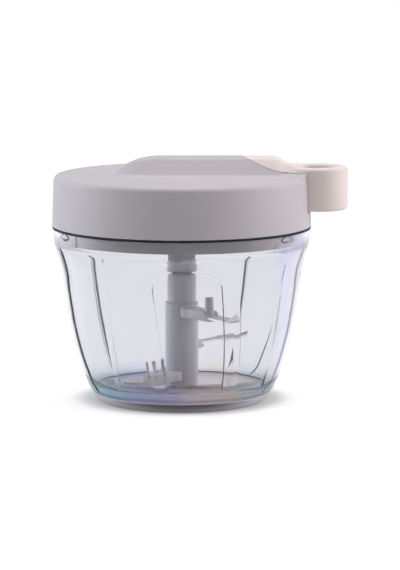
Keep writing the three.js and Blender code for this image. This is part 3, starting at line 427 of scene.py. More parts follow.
class Finish:
    """The nodes of a material or of the world, under construction."""

    def __init__(self, owner):
        owner.use_nodes = True
        self.owner = owner
        self.tree = owner.node_tree
        self.tree.nodes.clear()

    def add(self, kind, settings=None, inputs=None, output=0):
        """Adds a node: its settings first, then the values or links of its inputs."""
        node = self.tree.nodes.new(kind)
        for name, value in (settings or {}).items():
            if name == "stops":
                for k, (place, colour) in enumerate(value):
                    ramp = node.color_ramp.elements
                    stop = ramp[k] if k < 2 else ramp.new(place)
                    stop.position = place
                    stop.color = (*colour, 1)
            else:
                setattr(node, name, value)
        for name, value in (inputs or {}).items():
            if isinstance(value, Field):
                self.tree.links.new(value.socket, node.inputs[name])
            else:
                node.inputs[name].default_value = value
        return Field(self, node.outputs[output])

    def ray(self, name):
        return self.add("ShaderNodeLightPath", output=name)

    def seen_ray(self):
        """1 for a ray that the camera sees, also through clear plastic or in a reflection, and 0 for
        one that lights the object."""
        seen = self.ray("Is Camera Ray") + self.ray("Is Glossy Ray") + self.ray("Is Transmission Ray")
        return seen.eased(0, 1) * (1 - self.ray("Diffuse Depth").eased(0, 1))

    def places(self, scale=(1, 1, 1)):
        """Places on the object from the bowl's axis, stretched by a scale."""
        here = self.add("ShaderNodeTexCoord", output="Object")
        return self.add("ShaderNodeMapping", {}, {
            "Vector": here, "Location": (-AXIS * scale[0], 0, 0), "Scale": scale})

    def noise(self, scale, detail=2.0, places=None):
        return self.add("ShaderNodeTexNoise", {}, {
            "Vector": places or self.places(), "Scale": scale, "Detail": detail})

    def axis(self, places, name):
        """One coordinate of the places."""
        return self.add("ShaderNodeSeparateXYZ", {}, {"Vector": places}, output=name)

    def measure(self, operation, first, second=(0, 0, 0)):
        """A number from vector maths, such as a length."""
        return self.add("ShaderNodeVectorMath", {"operation": operation}, {0: first, 1: second},
                        output="Value")

    def outward(self, places):
        """The places as seen from above, so their length is their distance from the axis."""
        return self.add("ShaderNodeVectorMath", {"operation": "MULTIPLY"}, {0: places, 1: (1, 1, 0)})

    def facing(self):
        """0 where a surface is seen head on, to 1 where it is seen along its length."""
        return self.add("ShaderNodeLayerWeight", {}, {"Blend": 0.5}, output="Facing")

    def bumped(self, height, strength, distance):
        return self.add("ShaderNodeBump", {}, {
            "Strength": strength, "Distance": distance, "Height": height})

    def blend(self, first, second, share):
        """A mix of two colours."""
        return self.add("ShaderNodeMix", {"data_type": "RGBA"},
                        {0: share, 6: first, 7: second}, output=2)

    def mix_shaders(self, first, second, share):
        return self.add("ShaderNodeMixShader", {}, {0: share, 1: first, 2: second})

    def done(self, kind, links):
        """Adds the output node and returns the material or world."""
        output = self.tree.nodes.new(kind)
        for name, field in links.items():
            self.tree.links.new(field.socket, output.inputs[name])
        return self.owner

    def surface(self, inputs):
        shader = self.add("ShaderNodeBsdfPrincipled", {}, inputs)
        return self.done("ShaderNodeOutputMaterial", {"Surface": shader})


def new_finish(name):
    return Finish(bpy.data.materials.new(name))


def shaded(colour, share):
    return (*(channel * share for channel in colour), 1)


# Tint of the painted sheen on the plastics
PAINTED_SHEEN_TINT = (0.9, 0.84, 0.88, 1)
# Tint of the painted light and the painted sheen on the rubber
PAINTED_LIGHT_TINT = (0.85, 0.82, 0.9, 1)
# Colours of the painted dark lines in the clear plastic
PAINTED_SHADE_DARK = (0.012, 0.014, 0.035, 1)
PAINTED_SHADE_BLUE = (0.02, 0.09, 0.4, 1)
STRAIN = (
    (0.22, (0.40, 0.80, 0.84)), (0.34, (0.60, 0.76, 0.96)), (0.46, (0.80, 0.72, 0.95)),
    (0.58, (0.97, 0.90, 0.93)), (0.68, (1.0, 0.88, 0.80)), (0.76, (0.72, 0.90, 0.90)),
    (0.84, (0.72, 0.70, 0.96)),
)


def plastic(name, colour, roughness, grain, coat=0.0, sheen=0.0):
    """Moulded plastic: a fine spark-eroded grain, slight mottling, rubbed, shinier places and, if
    asked, a painted sheen: the base colour painted pale where it is seen along its surface."""
    finish = new_finish(name)
    cloud = finish.noise(28, 3)
    fine = finish.noise(1500, 2)
    rubbed = finish.noise(90, 4)
    bump = finish.bumped(fine + rubbed * 0.25, grain, 0.00012)
    base = finish.blend(shaded(colour, 0.965), shaded(colour, 1.03), cloud)
    # Painted sheen: the base colour turns pale where the surface is seen along its length
    if sheen:
        base = finish.blend(base, PAINTED_SHEEN_TINT, finish.facing().eased(0.2, 0.8) * sheen)
    return finish.surface({
        "Base Color": base,
        "Roughness": roughness - 0.05 + rubbed * 0.1 + fine * 0.04,
        "Normal": bump, "Coat Weight": coat, "Coat Roughness": 0.3,
    })


def clear_plastic(colour):
    """Clear moulded plastic with faint rainbow strain near the floor and at the right. Painted shade makes it
    dark where a wall is seen along its length, along the creases, the back left streak and at the rim, more
    on the left than on the right, with a painted blue tint low on the right; it is frosted underneath.
    Heights and distances are in metres."""
    finish = new_finish("clear_plastic")
    places = finish.places()
    height, across = finish.axis(places, "Z"), finish.axis(places, "X")
    strain = finish.noise(24, 1.5, finish.places((1, 1, 0.3))) * 0.5 + across * 6.5 + 0.27
    rainbow = finish.add("ShaderNodeValToRGB", {"stops": STRAIN}, {"Fac": strain})
    near_floor = 1 - height.eased(0.006, 0.014)
    strained = near_floor * 0.7 + (1 - near_floor) * across.eased(0.044, 0.053) * 0.3
    clear = finish.add("ShaderNodeBsdfPrincipled", {}, {
        "Base Color": finish.blend((*colour, 1), rainbow, strained),
        "Roughness": 0.008 + finish.noise(160, 4).eased(0.45, 0.9) * 0.05,
        "Transmission Weight": 1.0, "IOR": 1.53,
        "Normal": finish.bumped(finish.noise(55, 2), 0.06, 0.0006),
    })
    # Painted blue tint in the painted dark lines low on the right
    painted_blue_low_right = across.eased(0.034, 0.037) * (1 - height.eased(0.038, 0.042))
    dark = finish.add("ShaderNodeBsdfPrincipled", {}, {
        "Base Color": finish.blend(PAINTED_SHADE_DARK, PAINTED_SHADE_BLUE, painted_blue_low_right),
        "Roughness": 0.7, "Specular IOR Level": 0.1})
    frosted = finish.add("ShaderNodeBsdfPrincipled", {}, {
        "Base Color": rainbow, "Roughness": 0.6, "Specular IOR Level": 0.2})

    # Which side of the wall is seen, and how steeply
    facing = finish.facing()
    outward = finish.outward(places)
    out = finish.measure("LENGTH", outward)
    normal = finish.add("ShaderNodeTexCoord", output="Normal")
    outwards = finish.measure("DOT_PRODUCT", outward, normal).eased(-0.002, 0.002)
    behind = finish.add("ShaderNodeNewGeometry", output="Backfacing")
    from_inside = (1 - outwards) * (1 - behind) * facing.eased(0.78, 0.9)
    from_wall = outwards * behind * facing.eased(0.2375, 0.241) * (1 - facing.eased(0.249, 0.252))
    from_outside = (outwards * (1 - behind)
                    * facing.eased(0.7, 0.715) * (1 - facing.eased(0.745, 0.76)))

    # Each painted dark line, painted shade where the wall is seen along its length, is laid over those before
    # it
    below_collar = 1 - height.eased(0.078, 0.081)
    # Painted shade: the dark lines are stronger on the left than on the right
    strength = 0.94 - across.eased(-0.01, 0.03) * 0.55
    crease = finish.add("ShaderNodeAttribute", {"attribute_name": "crease"}, output="Fac")
    share = (from_inside + from_wall) * height.eased(0.008, 0.012) * below_collar * strength
    for line in (
        from_outside * height.eased(0.006, 0.008) * below_collar * strength,
        # Painted shade along the creases and the back left streak, seen from inside
        crease * (1 - outwards) * (1 - behind) * 0.95,
        # Painted shade on the rim's top edge, under the lid
        height.eased(0.0872, 0.0875) * (1 - height.eased(0.0885, 0.0887))
        * out.eased(0.0622, 0.0624) * 0.93,
    ):
        share = share + (1 - share) * line
    underside = (1 - height.eased(0.0064, 0.0068)) * (1 - out.eased(0.0425, 0.0435)) * 0.7
    solid = finish.mix_shaders(finish.mix_shaders(clear, dark, share), frosted, underside)
    let_through = finish.add("ShaderNodeBsdfTransparent", {}, {"Color": (0.95, 0.95, 0.96, 1)})
    depth = finish.add("ShaderNodeVolumeAbsorption", {}, {
        "Color": (0.5, 0.52, 0.6, 1), "Density": 14.0})
    return finish.done("ShaderNodeOutputMaterial", {
        "Surface": finish.mix_shaders(solid, let_through, finish.ray("Is Shadow Ray")),
        "Volume": depth})


def rubber(name, colour):
    """Soft rubber with a little sheen from its coat. Painted light pales the top and the bore, which sit in
    shade under the bowl, and a painted sheen pales what is seen along its length."""
    finish = new_finish(name)
    places = finish.places()
    out = finish.measure("LENGTH", finish.outward(places))
    below_top = 1 - finish.axis(places, "Z").eased(0.0045, 0.00475)
    # Painted light on the top and the bore, then a painted sheen at grazing angles
    painted_light_share = 1 - below_top * out.eased(0.0355, 0.037)
    painted_light_share = painted_light_share + (1 - painted_light_share) * finish.facing().eased(0.12, 0.6) * 0.85
    dust = finish.noise(420, 4)
    base = finish.blend(shaded(colour, 0.9), shaded(colour, 1.12), finish.noise(40, 2))
    return finish.surface({
        "Base Color": finish.blend(base, PAINTED_LIGHT_TINT, painted_light_share),
        "Roughness": 0.42 + dust * 0.25, "Normal": finish.bumped(dust, 0.25, 0.0002),
        "Coat Weight": 0.4, "Coat Roughness": 0.25,
    })


def metal(name, colour, roughness, stretch, metallic=1.0):
    """Ground or drawn metal with fine scratches along one direction."""
    finish = new_finish(name)
    lines = finish.noise(220, 5, finish.places(stretch))
    cloud = finish.noise(60, 2)
    bump = finish.bumped(lines, 0.12, 0.0001)
    return finish.surface({
        "Base Color": finish.blend(shaded(colour, 0.88), shaded(colour, 1.05), cloud),
        "Roughness": roughness - 0.07 + lines * 0.14, "Metallic": metallic, "Normal": bump,
    })


def cord_fibre():
    """Braided polyester cord: pale fibres with darker valleys."""
    finish = new_finish("cord")
    fibres = finish.noise(2600, 3)
    strands = finish.noise(600, 2)
    bump = finish.bumped(fibres, 0.5, 0.0002)
    return finish.surface({
        "Base Color": finish.blend((0.55, 0.52, 0.48, 1), (0.82, 0.79, 0.74, 1), strands),
        "Roughness": 0.8 + fibres * 0.15, "Normal": bump,
    })


FINISHES = {}


def finish_named(name):
    """The material of that name, made when it is first asked for."""
    if name not in FINISHES:
        colours = bpy.context.scene.chopper_colours
        # Darker copies of the lid's and the shaft's colours: painted shade for the plug and the hub, which
        # sit in shade under the lid
        shade_darkened_lilac = [channel * 0.6 for channel in colours.lid]
        shade_darkened_grey = [channel * 0.65 for channel in colours.shaft]
        FINISHES[name] = {
            "clear": lambda: clear_plastic(colours.bowl),
            "lilac": lambda: plastic("lilac_plastic", colours.lid, 0.5, 0.16),
            # The plug also gets a painted sheen, the last argument
            "shade darkened lilac": lambda: plastic("shade_darkened_lilac_plastic", shade_darkened_lilac, 0.36, 0.12, 0.6, 1.0),
            "cream": lambda: plastic("cream_plastic", colours.handle, 0.5, 0.14),
            # The shaft gets a painted sheen, the last argument
            "grey": lambda: plastic("grey_plastic", colours.shaft, 0.34, 0.06, 0.6, 0.85),
            "shade darkened grey": lambda: plastic("shade_darkened_grey_plastic", shade_darkened_grey, 0.4, 0.08),
            "white": lambda: plastic("white_plastic", (0.78, 0.77, 0.75), 0.45, 0.1),
            "mauve rubber": lambda: rubber("mauve_rubber", colours.ring),
            "pale rubber": lambda: rubber("pale_rubber", (0.62, 0.60, 0.63)),
            "blade steel": lambda: metal("blade_steel", (0.97, 0.94, 0.9), 0.26, (1, 1, 30), 0.85),
            "works steel": lambda: metal("works_steel", (0.55, 0.56, 0.58), 0.3, (1, 1, 12)),
            "cord": cord_fibre,
        }[name]()
    return FINISHES[name]


# Pieces

def nearest_crease(azimuths, height):
    """The distance of each azimuth from the nearest crease, that crease's share of the rise, and the
    azimuth's place in its panel from -1 to 1."""
    level = np.clip((height - FOOT_HEIGHT) / (COLLAR_HEIGHT - FOOT_HEIGHT), 0, 1)
    creases = [mixed(foot, collar, level) for foot, collar, _ in CREASES]
    distance, place, share = np.full((3, azimuths.size), 360.0)
    for k, start in enumerate(creases):
        following = (k + 1) % len(creases)
        width = (creases[following] - start) % 360
        past = (azimuths - start + 1e-9) % 360
        inside = past <= width
        place = np.where(inside, 2 * past / width - 1, place)
        distance = np.where(inside, np.minimum(past, width - past), distance)
        nearer = np.where(past < width / 2, CREASES[k][2], CREASES[following][2])
        share = np.where(inside, nearer, share)
    return distance, share, place


def bowl_azimuths():
    """Azimuths round the bowl, close together at the creases, the band's legs and the lock bumps."""
    first = CREASES[0][0]
    fine = np.linspace(first, first + 360, 7201)
    density = np.full(fine.shape, 1.0)
    for foot, collar, _ in (*CREASES, (first + 360, first + 360, 0)):
        density += 5.5 * np.exp(-((fine - (foot + collar) / 2) / (1.6 + abs(foot - collar) / 2)) ** 2)
    for streak in (119, 124):
        density += 4.0 * np.exp(-((fine - streak) / 5) ** 4)
    for leg in (-20, 24):
        density += 3.0 * np.exp(-((fine - leg) / 7) ** 4)
    for lock in LOCK_AZIMUTHS:
        density += 0.8 * np.exp(-((fine - lock) / 5.5) ** 4)
    total = np.concatenate([[0], np.cumsum((density[1:] + density[:-1]) / 2)])
    return np.interp(np.linspace(0, total[-1], 577), total, fine)


def bowl_rows():
    """The bowl's closed outline as (radius, height, part), from the axis below to the axis above."""
    side = curve_through([
        (mixed(FOOT_RADIUS, COLLAR_RADIUS, radius), mixed(FOOT_HEIGHT, COLLAR_HEIGHT, height))
        for height, radius in SIDE_SHARES], 62)
    outer = rounded([
        (0, 5.1), (38.6, 5.1, 0.2), (38.6, 6.3, 0.2), (41.6, 6.3, 0.2), (41.6, 5.1, 0.2),
        tuple(side[0]) + (0.9,), tuple(side[3])], closed=False, steps=3)[:-1]
    rim = rounded([
        tuple(side[-1]), (64.9, MOUTH_HEIGHT, 0.2), (62.6, MOUTH_HEIGHT, 0.2), (62.6, 93.8, 0.5),
        (61, 93.8, 0.4), (61, 89.2), (61.6, 88.6), (61.6, 80.5), (61.6, 79.4)], closed=False, steps=3)[1:]
    collar = [(61.6, height) for height in np.linspace(88.2, 82.6, 15)]
    inner = []
    for radius, height in side[::-1]:
        share = (height - FOOT_HEIGHT) / (COLLAR_HEIGHT - FOOT_HEIGHT)
        if 14.5 < height < 79.2:
            inner.append((radius - mixed(2.4, 2.3, share), height))
    start, bend, end = np.array(inner[-1]), np.array((44.9, 7.2)), np.array((36, 7.2))
    fillet = [tuple(start * (1 - t) ** 2 + 2 * bend * t * (1 - t) + end * t * t)
              for t in np.linspace(0, 1, 14)[1:]]
    floor = rounded([(36, 7.2), (4.6, 7.2, 0.5), (4.6, 10.6, 0.4), (2.8, 10.6, 0.3), (2.8, 6), (0, 6)],
                    closed=False, steps=3)[1:]
    split = [k for k, (radius, height) in enumerate(rim) if height < 88.7 and radius < 61.7][0] + 1
    rows = [(r, z, 0) for r, z in outer]
    rows += [(r, z, 1) for r, z in side[1:]]
    rows += [(r, z, 0) for r, z in rim[:split]]
    rows += [(r, z, 3) for r, z in collar]
    rows += [(r, z, 0) for r, z in rim[split:-1]]
    rows += [(r, z, 2) for r, z in inner]
    rows += [(r, z, 2) for r, z in fillet[:-1]]
    rows += [(r, z, 0) for r, z in fillet[-1:]]
    rows += [(r, z, 0) for r, z in floor]
    return rows


def band_height(azimuths, radius, height):
    """The arched band inside the front: an upside-down U with one crisp edge."""
    share = np.clip((height - 14) / 60, 0, 1)
    left, right = mixed(-13, -18.5, share), mixed(29.5, 22.5, share)
    middle, half = (left + right) / 2, (right - left) / 2 * radius * math.pi / 180
    across = np.abs(azimuths - middle) * radius * math.pi / 180
    dx = across - (half - BAND_CORNER)
    dz = height - (BAND_TOP - BAND_CORNER)
    outside = np.where((dx > 0) & (dz > 0), np.hypot(dx, dz), np.maximum(dx, dz)) - BAND_CORNER
    crisp = eased(-4.1, -3.4, outside)
    upper_left = eased(68, 73, height) * eased(-1, 4, middle - azimuths)
    soft = 1 - eased(mixed(1.2, 0.5, upper_left), mixed(4.8, 1.3, upper_left), outside)
    return crisp * soft * eased(9, 16, height)


def mark_painted_crease_shade(piece):
    """Adds an attribute that is 1 along the creases and the back left streak, where the clear plastic paints
    dark lines as shade seen from inside.
    """
    flat = np.empty(len(piece.data.vertices) * 3, np.float32)
    piece.data.vertices.foreach_get("co", flat)
    x, y, height = flat.reshape(-1, 3).T / MM
    radius, azimuth = np.hypot(x, y), np.degrees(np.arctan2(x, -y))
    distance, rise, _ = nearest_crease(azimuth, height)
    arc = radius * math.pi / 180
    crease = 1 - eased(0.5, 1, distance * arc / mixed(0.3, 1.25, rise / 2))
    crease = crease * eased(9, 13, height) * (1 - eased(72, 74, height))
    along = (height - DARK_STREAK_LOW) / DARK_STREAK_RUN
    middle, half = (mixed(low, high, along) for low, high in zip(*DARK_STREAK_LINE))
    # Painted shade along the back left streak
    streak_shade = 1 - eased(0.5, 1, np.abs(azimuth - middle) * arc / half)
    streak_shade = streak_shade * eased(7.6, 10, height) * (1 - eased(28, 37, height))
    mark = piece.data.attributes.new("crease", "FLOAT", "POINT")
    mark.data.foreach_set("value", np.maximum(crease, streak_shade).astype(np.float32))


def bowl_piece():
    sizes = bpy.context.scene.chopper_sizes
    azimuths = bowl_azimuths()
    wrapped = (azimuths + 180) % 360 - 180
    turns = np.radians(azimuths)
    rows = []
    for radius, height, part in bowl_rows():
        distance, rise, place = nearest_crease(azimuths, height)
        lift = 1.6 * place ** 2 * float(1 - eased(73, 82, height)) * float(eased(5.1, 13, height))
        grown = np.full(azimuths.shape, radius, float)
        if part in (1, 2):
            grown += lift
        if part == 1:
            width = mixed(1.15, 0.5, np.clip((height - 8) / 65, 0, 1))
            ends = float(1 - eased(72.2, 74.4, height)) * float(eased(5.3, 7.5, height))
            rib = np.exp(-(distance * radius * math.pi / 180 / width) ** 2)
            grown += sizes.crease_rise / MM * rib * ends * np.minimum(rise, 0.5)
        if part == 2:
            grown -= sizes.band_rise / MM * band_height(wrapped, radius, height)
            ends = float(1 - eased(70, 73, height)) * float(eased(13, 16, height))
            rib = np.exp(-(distance * radius * math.pi / 180 / 0.8) ** 2)
            grown -= sizes.crease_rise / MM * 0.6 * rib * ends * np.clip(rise - 1, 0, 1)
        if part == 3:
            for lock in LOCK_AZIMUTHS:
                across = ((azimuths - lock + 180) % 360 - 180) * radius * math.pi / 180
                oval = np.hypot(across / 4.6, (height - 85.5) / 1.5)
                grown -= sizes.bump_rise / MM * (1 - eased(0.72, 1.02, oval))
        rows.append(np.column_stack([
            grown * np.sin(turns), -grown * np.cos(turns), turns * 0 + height]))
    piece = woven("bowl_shell", np.stack(rows, 1))
    mark_painted_crease_shade(piece)
    return finished(piece, finish_named("clear"), "bowl", ["bowl"], 50)


def base_ring_piece():
    side = [tuple(point) for point in curve_through([
        (40, 0), (41.9, 0.75), (43.4, 2.1), (44.3, 3.6), (44.7, 4.6)], 14)]
    outline = rounded([(35, 0, 0.8), (39, 0)], closed=False) + side + rounded([
        (44.7, 4.6), (44.6, 4.8, 0.1), (41.3, 4.8, 0.2), (41.3, 6, 0.3), (38.9, 6, 0.3), (38.9, 4.8, 0.2),
        (35, 4.8, 0.4), (35, 1)], closed=False)[1:]
    return finished(turned("rubber_base", outline, 160), finish_named("mauve rubber"),
                    "bowl", ["base_ring"])


def arm_piece(height, reach, has_peg):
    """A moulded arm with a sloping tip, and its peg, drawn along +X."""
    low, high = height - 2.25, height + 2.25
    arm = slab("arm", [(6, low), (reach - 1, low), (reach, low + 0.8), (reach - 4.4, high), (6, high)], 6)
    waist = plate("waist", rounded([
        (5, -5.2), (9, -5.2, 3), (12, -4.4, 8), (reach - 4, -4, 2.2), (reach + 1, -3.2, 2.2),
        (reach + 1, 3.2, 2.2), (reach - 4, 4, 2.2), (12, 4.4, 8), (9, 5.2, 3), (5, 5.2)],
        closed=True, steps=4), low - 2, high + 2)
    arm = softened(merged(arm, waist, "INTERSECT"), 0.45, 50)
    if has_peg:
        peg = turned("peg", rounded([
            (0, height), (2.3, height), (2.1, high + 7, 0.5), (0, high + 7)], closed=False), 32)
        merged(arm, moved(peg, x=24), "UNION")
    return arm


def blade_shaft_piece():
    shaft = turned("shaft", rounded([
        (6, 8.2, 0.4), (8.4, 8.2, 0.5), (8.4, 49.5, 0.35), (7.3, 50.3, 0.4), (7.3, 65, 0.3),
        (7.7, 65.5, 0.3), (7.7, 68.3, 0.4), (7, 68.8, 0.2), (7, 70.2, 0.3), (6, 70.2, 0.3)],
        closed=True, steps=4), 96)
    for _, height, azimuth, _, arm, has_peg in BLADES:
        arm = moved(arm_piece(height, arm, has_peg), azimuth=azimuth)
        shaft = merged(shaft, arm, "UNION")
    bore = turned("bore", [(0, 6), (6, 6), (6, 72), (0, 72)], 96)
    shaft = merged(shaft, bore, "DIFFERENCE")
    return finished(shaft, finish_named("grey"), "blades", ["blade_shaft"], 30)


def blade_piece(name, height, azimuth, reach):
    """A thin curved blade with a ground edge and an upturned, pointed tip."""
    shares = np.array([
        (0, 0.47, -0.47), (0.37, 0.52, -0.48), (0.55, 0.74, -0.86), (0.75, 0.68, -0.92),
        (0.91, 0.28, -0.73), (1, -0.36, -0.5)])
    loops = []
    rise = 5.5 if name == "upper_blade" else 1.2
    tilt = 0.03 if name == "middle_blade" else 0
    for share, edge_share, back_share in curve_through(shares, 40):
        x = mixed(11, reach, share)
        edge, back = 6.4 * edge_share, 6.4 * back_share
        lift = height + rise * float(eased(0.9, 1.04, share)) * share
        bevel = min(2.2, (edge - back) * 0.5)
        loops.append([(x, y, z + tilt * y * float(eased(0.02, 0.3, share))) for y, z in (
            (back, lift - 0.6), (edge, lift - 0.6), (edge + 0.02, lift - 0.5),
            (edge - bevel, lift + 0.6), (back + 0.1, lift + 0.6), (back, lift + 0.5))])
    piece = moved(lofted(name + "_ground", loops), azimuth=azimuth)
    return finished(piece, finish_named("blade steel"), "blades", [name], 25)


def hump_loop(x, half_base, half_top, height, bottom, flare):
    """One section across the hump: a rounded top, leaning sides and a flared foot."""
    height = max(height, 0.05)
    edge = min(6, height * 0.75, half_top * 1.6)
    flare = min(flare, height * 0.5)
    side = rounded([
        (0, height), (half_top, height, edge), (half_base, 0, flare * 1.2),
        (half_base + flare * 1.6 + 0.03, -0.03 * flare - 0.02), (half_base + flare * 1.6 + 0.03, bottom)],
        closed=False, steps=8)
    mirrored = [(-y, z) for y, z in side[::-1][:-1]]
    return [(x, y, LID_TOP + z) for y, z in side + mirrored]


def hump_form(name, inset, bottom, flare, spread=0):
    """The hump and the handle's tongue as one flowing form, with its widest flare at the nose. spread
    widens the tongue towards the ring."""
    loops = []
    half_base, half_top = 11 - inset, 3.8 - inset * 0.8
    for angle in np.linspace(3, 90, 30)[:-1]:
        sine = math.sin(math.radians(angle))
        x = HUMP_NOSE_END - (HUMP_NOSE - inset) * math.cos(math.radians(angle))
        loops.append(hump_loop(
            x, half_base * sine ** 1.1, half_top * sine ** 1.2,
            (HUMP_HEIGHT - inset) * sine ** 1.5, bottom, flare * mixed(1, 0.7, sine ** 3)))
    for x in np.linspace(HUMP_NOSE_END, HUMP_FLAT_END - 3, 14):
        loops.append(hump_loop(x, half_base, half_top, HUMP_HEIGHT - inset, bottom, flare * 0.7))
    for x, share in curve_through(HUMP_DROP, 26)[1:]:
        height = mixed(HUMP_HEIGHT, RING_TOP - LID_TOP, share) - inset
        widened = float(eased(1, 15, x))
        foot, top = (more * spread * widened for more in TONGUE_SPREAD)
        loops.append(hump_loop(
            HUMP_FLAT_END + x, half_base + foot, half_top + top, height, bottom,
            flare * mixed(0.7, 0.1, widened)))
    return lofted(name, loops)


def above_parting(shift):
    """The space above the parting line between the lid and the handle's tongue."""
    line = curve_through(PARTING, 26) + shift
    start = line[0][0] - 0.8
    outline = [(start, CLEAR_ABOVE), (start, line[0][1] + 0.35), *(tuple(point) for point in line)]
    return slab("above_parting", outline + [(CLEAR_OUT, line[-1][1]), (CLEAR_OUT, CLEAR_ABOVE)], 30)


def drum(name, radius, bottom, top):
    """A round block on the finger ring's axis."""
    block = turned(name, [(0, bottom), (radius, bottom), (radius, top), (0, top)])
    return moved(block, x=RING_CENTRE)


def lid_cover_piece():
    sizes = bpy.context.scene.chopper_sizes
    side = LID_RADIUS - 0.8
    top_round = sizes.lid_round / MM
    lid = turned("lid", rounded([
        (0, LID_TOP), (side, LID_TOP, top_round), (LID_RADIUS, LID_BOTTOM, 0.35), (62.9, LID_BOTTOM, 0.3),
        (62.1, 112, 2.2), (0, 112)], closed=False, steps=8), 192)
    lid = merged(lid, hump_form("hump", 0, -1.2, sizes.hump_flare / MM), "UNION")
    lip = merged(
        moved(turned("lip", rounded([
            (0, 112.5), (28.5, 112.5), (23, LID_TOP + 0.15, 3), (19, LIP_TOP - 0.5, 2),
            (18.2, LIP_TOP, 0.7), (0, LIP_TOP)], closed=False, steps=6), 128), x=RING_CENTRE),
        turned("lip_limit", [(0, 100), (63.9, 100), (63.9, 120), (0, 120)], 192), "INTERSECT")
    lid = merged(lid, lip, "UNION")
    pocket_wall = merged(
        drum("pocket_wall", POCKET_WALL_RADIUS, 94.4, 113),
        turned("wall_limit", [(0, 90), (64.6, 90), (64.1, 120), (0, 120)], 192), "INTERSECT")
    lid = merged(lid, pocket_wall, "UNION")
    hollow = hump_form("hollow", 2, -6, 0.5)
    merged(hollow, above_parting(-2), "DIFFERENCE")
    merged(hollow, drum("hollow_limit", POCKET_WALL_RADIUS, 80, CLEAR_ABOVE), "DIFFERENCE")
    lid = merged(lid, hollow, "DIFFERENCE")
    lid = merged(lid, above_parting(0), "DIFFERENCE")
    lid = merged(lid, drum("pocket", POCKET_RADIUS, POCKET_FLOOR, CLEAR_ABOVE), "DIFFERENCE")
    way_out = plate("way_out", [
        (RING_CENTRE, -POCKET_RADIUS), (CLEAR_OUT, -POCKET_RADIUS), (CLEAR_OUT, POCKET_RADIUS),
        (RING_CENTRE, POCKET_RADIUS)], POCKET_FLOOR, CLEAR_ABOVE)
    lid = merged(lid, way_out, "DIFFERENCE")
    return finished(lid, finish_named("lilac"), "lid", ["lid_cover"], 32)


def pull_handle_piece():
    sizes = bpy.context.scene.chopper_sizes
    edge = sizes.ring_round / MM
    ring = moved(turned("ring", rounded([
        (9.7, RING_BOTTOM, edge), (15.9, RING_BOTTOM, edge), (15.9, RING_TOP, edge),
        (9.7, RING_TOP, edge)], closed=True, steps=6), 128), x=RING_CENTRE)
    tongue = merged(hump_form("tongue", 0, -5, 0.4, 1), above_parting(0.14), "INTERSECT")
    merged(tongue, drum("tongue_bore", 11.6, 90, CLEAR_ABOVE), "DIFFERENCE")
    handle = merged(ring, tongue, "UNION")
    for name, stations, radius, sides in (
        ("cord_hole", (48, 52, 59), 1.4, 20), ("knot_room", (54.2, 56, 59.5), 2.3, 24),
    ):
        room = tube(name, [(x, 0, CORD_HEIGHT) for x in stations], radius, sides)
        handle = merged(handle, room, "DIFFERENCE")
    return finished(handle, finish_named("cream"), "handle", ["pull_handle"], 32)


def lid_base_piece():
    base = turned("plug", rounded([
        (9.3, 82, 0.2), (57.2, 82, 0.4), (57.8, 81.5, 0.3), (60.2, 81.5, 0.4), (60.2, 89.9, 0.2),
        (58.7, 89.9, 0.2), (58.7, 92.7, 0.2), (60.2, 92.7, 0.2), (60.2, 94.9, 0.2), (62.5, 94.9, 0.3),
        (62.5, 96.4, 0.4), (57.2, 96.4, 0.4), (57.2, 84, 0.5), (9.3, 84, 0.3)], closed=True, steps=4), 192)
    for azimuth in LOCK_AZIMUTHS:
        loops = []
        for across in np.concatenate([np.linspace(-8.75, -5.75, 6), np.linspace(-5, 7.1, 14),
                                      np.linspace(7.2, 8.75, 4)]):
            ramp = eased(-8.75, -5.75, across)
            top = 81.55 + 2.05 * float(ramp) + (3.3 if across > 7.15 else 0)
            turn = across / 60.5
            loops.append([(r * math.cos(turn), r * math.sin(turn), z) for r, z in rounded(
                [(59, 81.5), (60.72, 81.5, 0.15), (60.72, top, 0.02 + 0.13 * float(ramp)), (59, top)],
                closed=True, steps=3)])
        base = merged(base, moved(lofted("pad", loops), azimuth=azimuth), "UNION")
    # The plug's colour is the lid's, darkened as painted shade
    return finished(base, finish_named("shade darkened lilac"), "lid", ["lid_base"], 32)


def drive_hub_piece():
    hub = turned("hub", rounded([
        (0, 58.6), (3.6, 58.6, 0.5), (3.6, 71.2), (6.9, 71.2, 0.5), (6.9, 85.9), (20, 85.9, 0.4),
        (20, 91.8, 0.3), (18.4, 91.8, 0.3), (18.4, 88), (2.3, 88), (2.3, 82), (0, 82)],
        closed=False, steps=4), 96)
    for azimuth in (-60, 120):
        vane = softened(plate("vane", [(0, -0.8), (5.4, -0.8), (5.4, 0.8), (0, 0.8)], 58.7, 72.6), 0.2)
        hub = merged(hub, moved(vane, azimuth=azimuth), "UNION")
    for azimuth in (0, 180):
        post = turned("post", rounded([(0, 87), (1.3, 87), (1.3, 90.8, 0.3), (0, 90.8)], closed=False), 24)
        hub = merged(hub, moved(moved(post, x=15.6), azimuth=azimuth), "UNION")
    # The hub's colour is the shaft's, darkened as painted shade
    return finished(hub, finish_named("shade darkened grey"), "drive", ["drive_hub"])


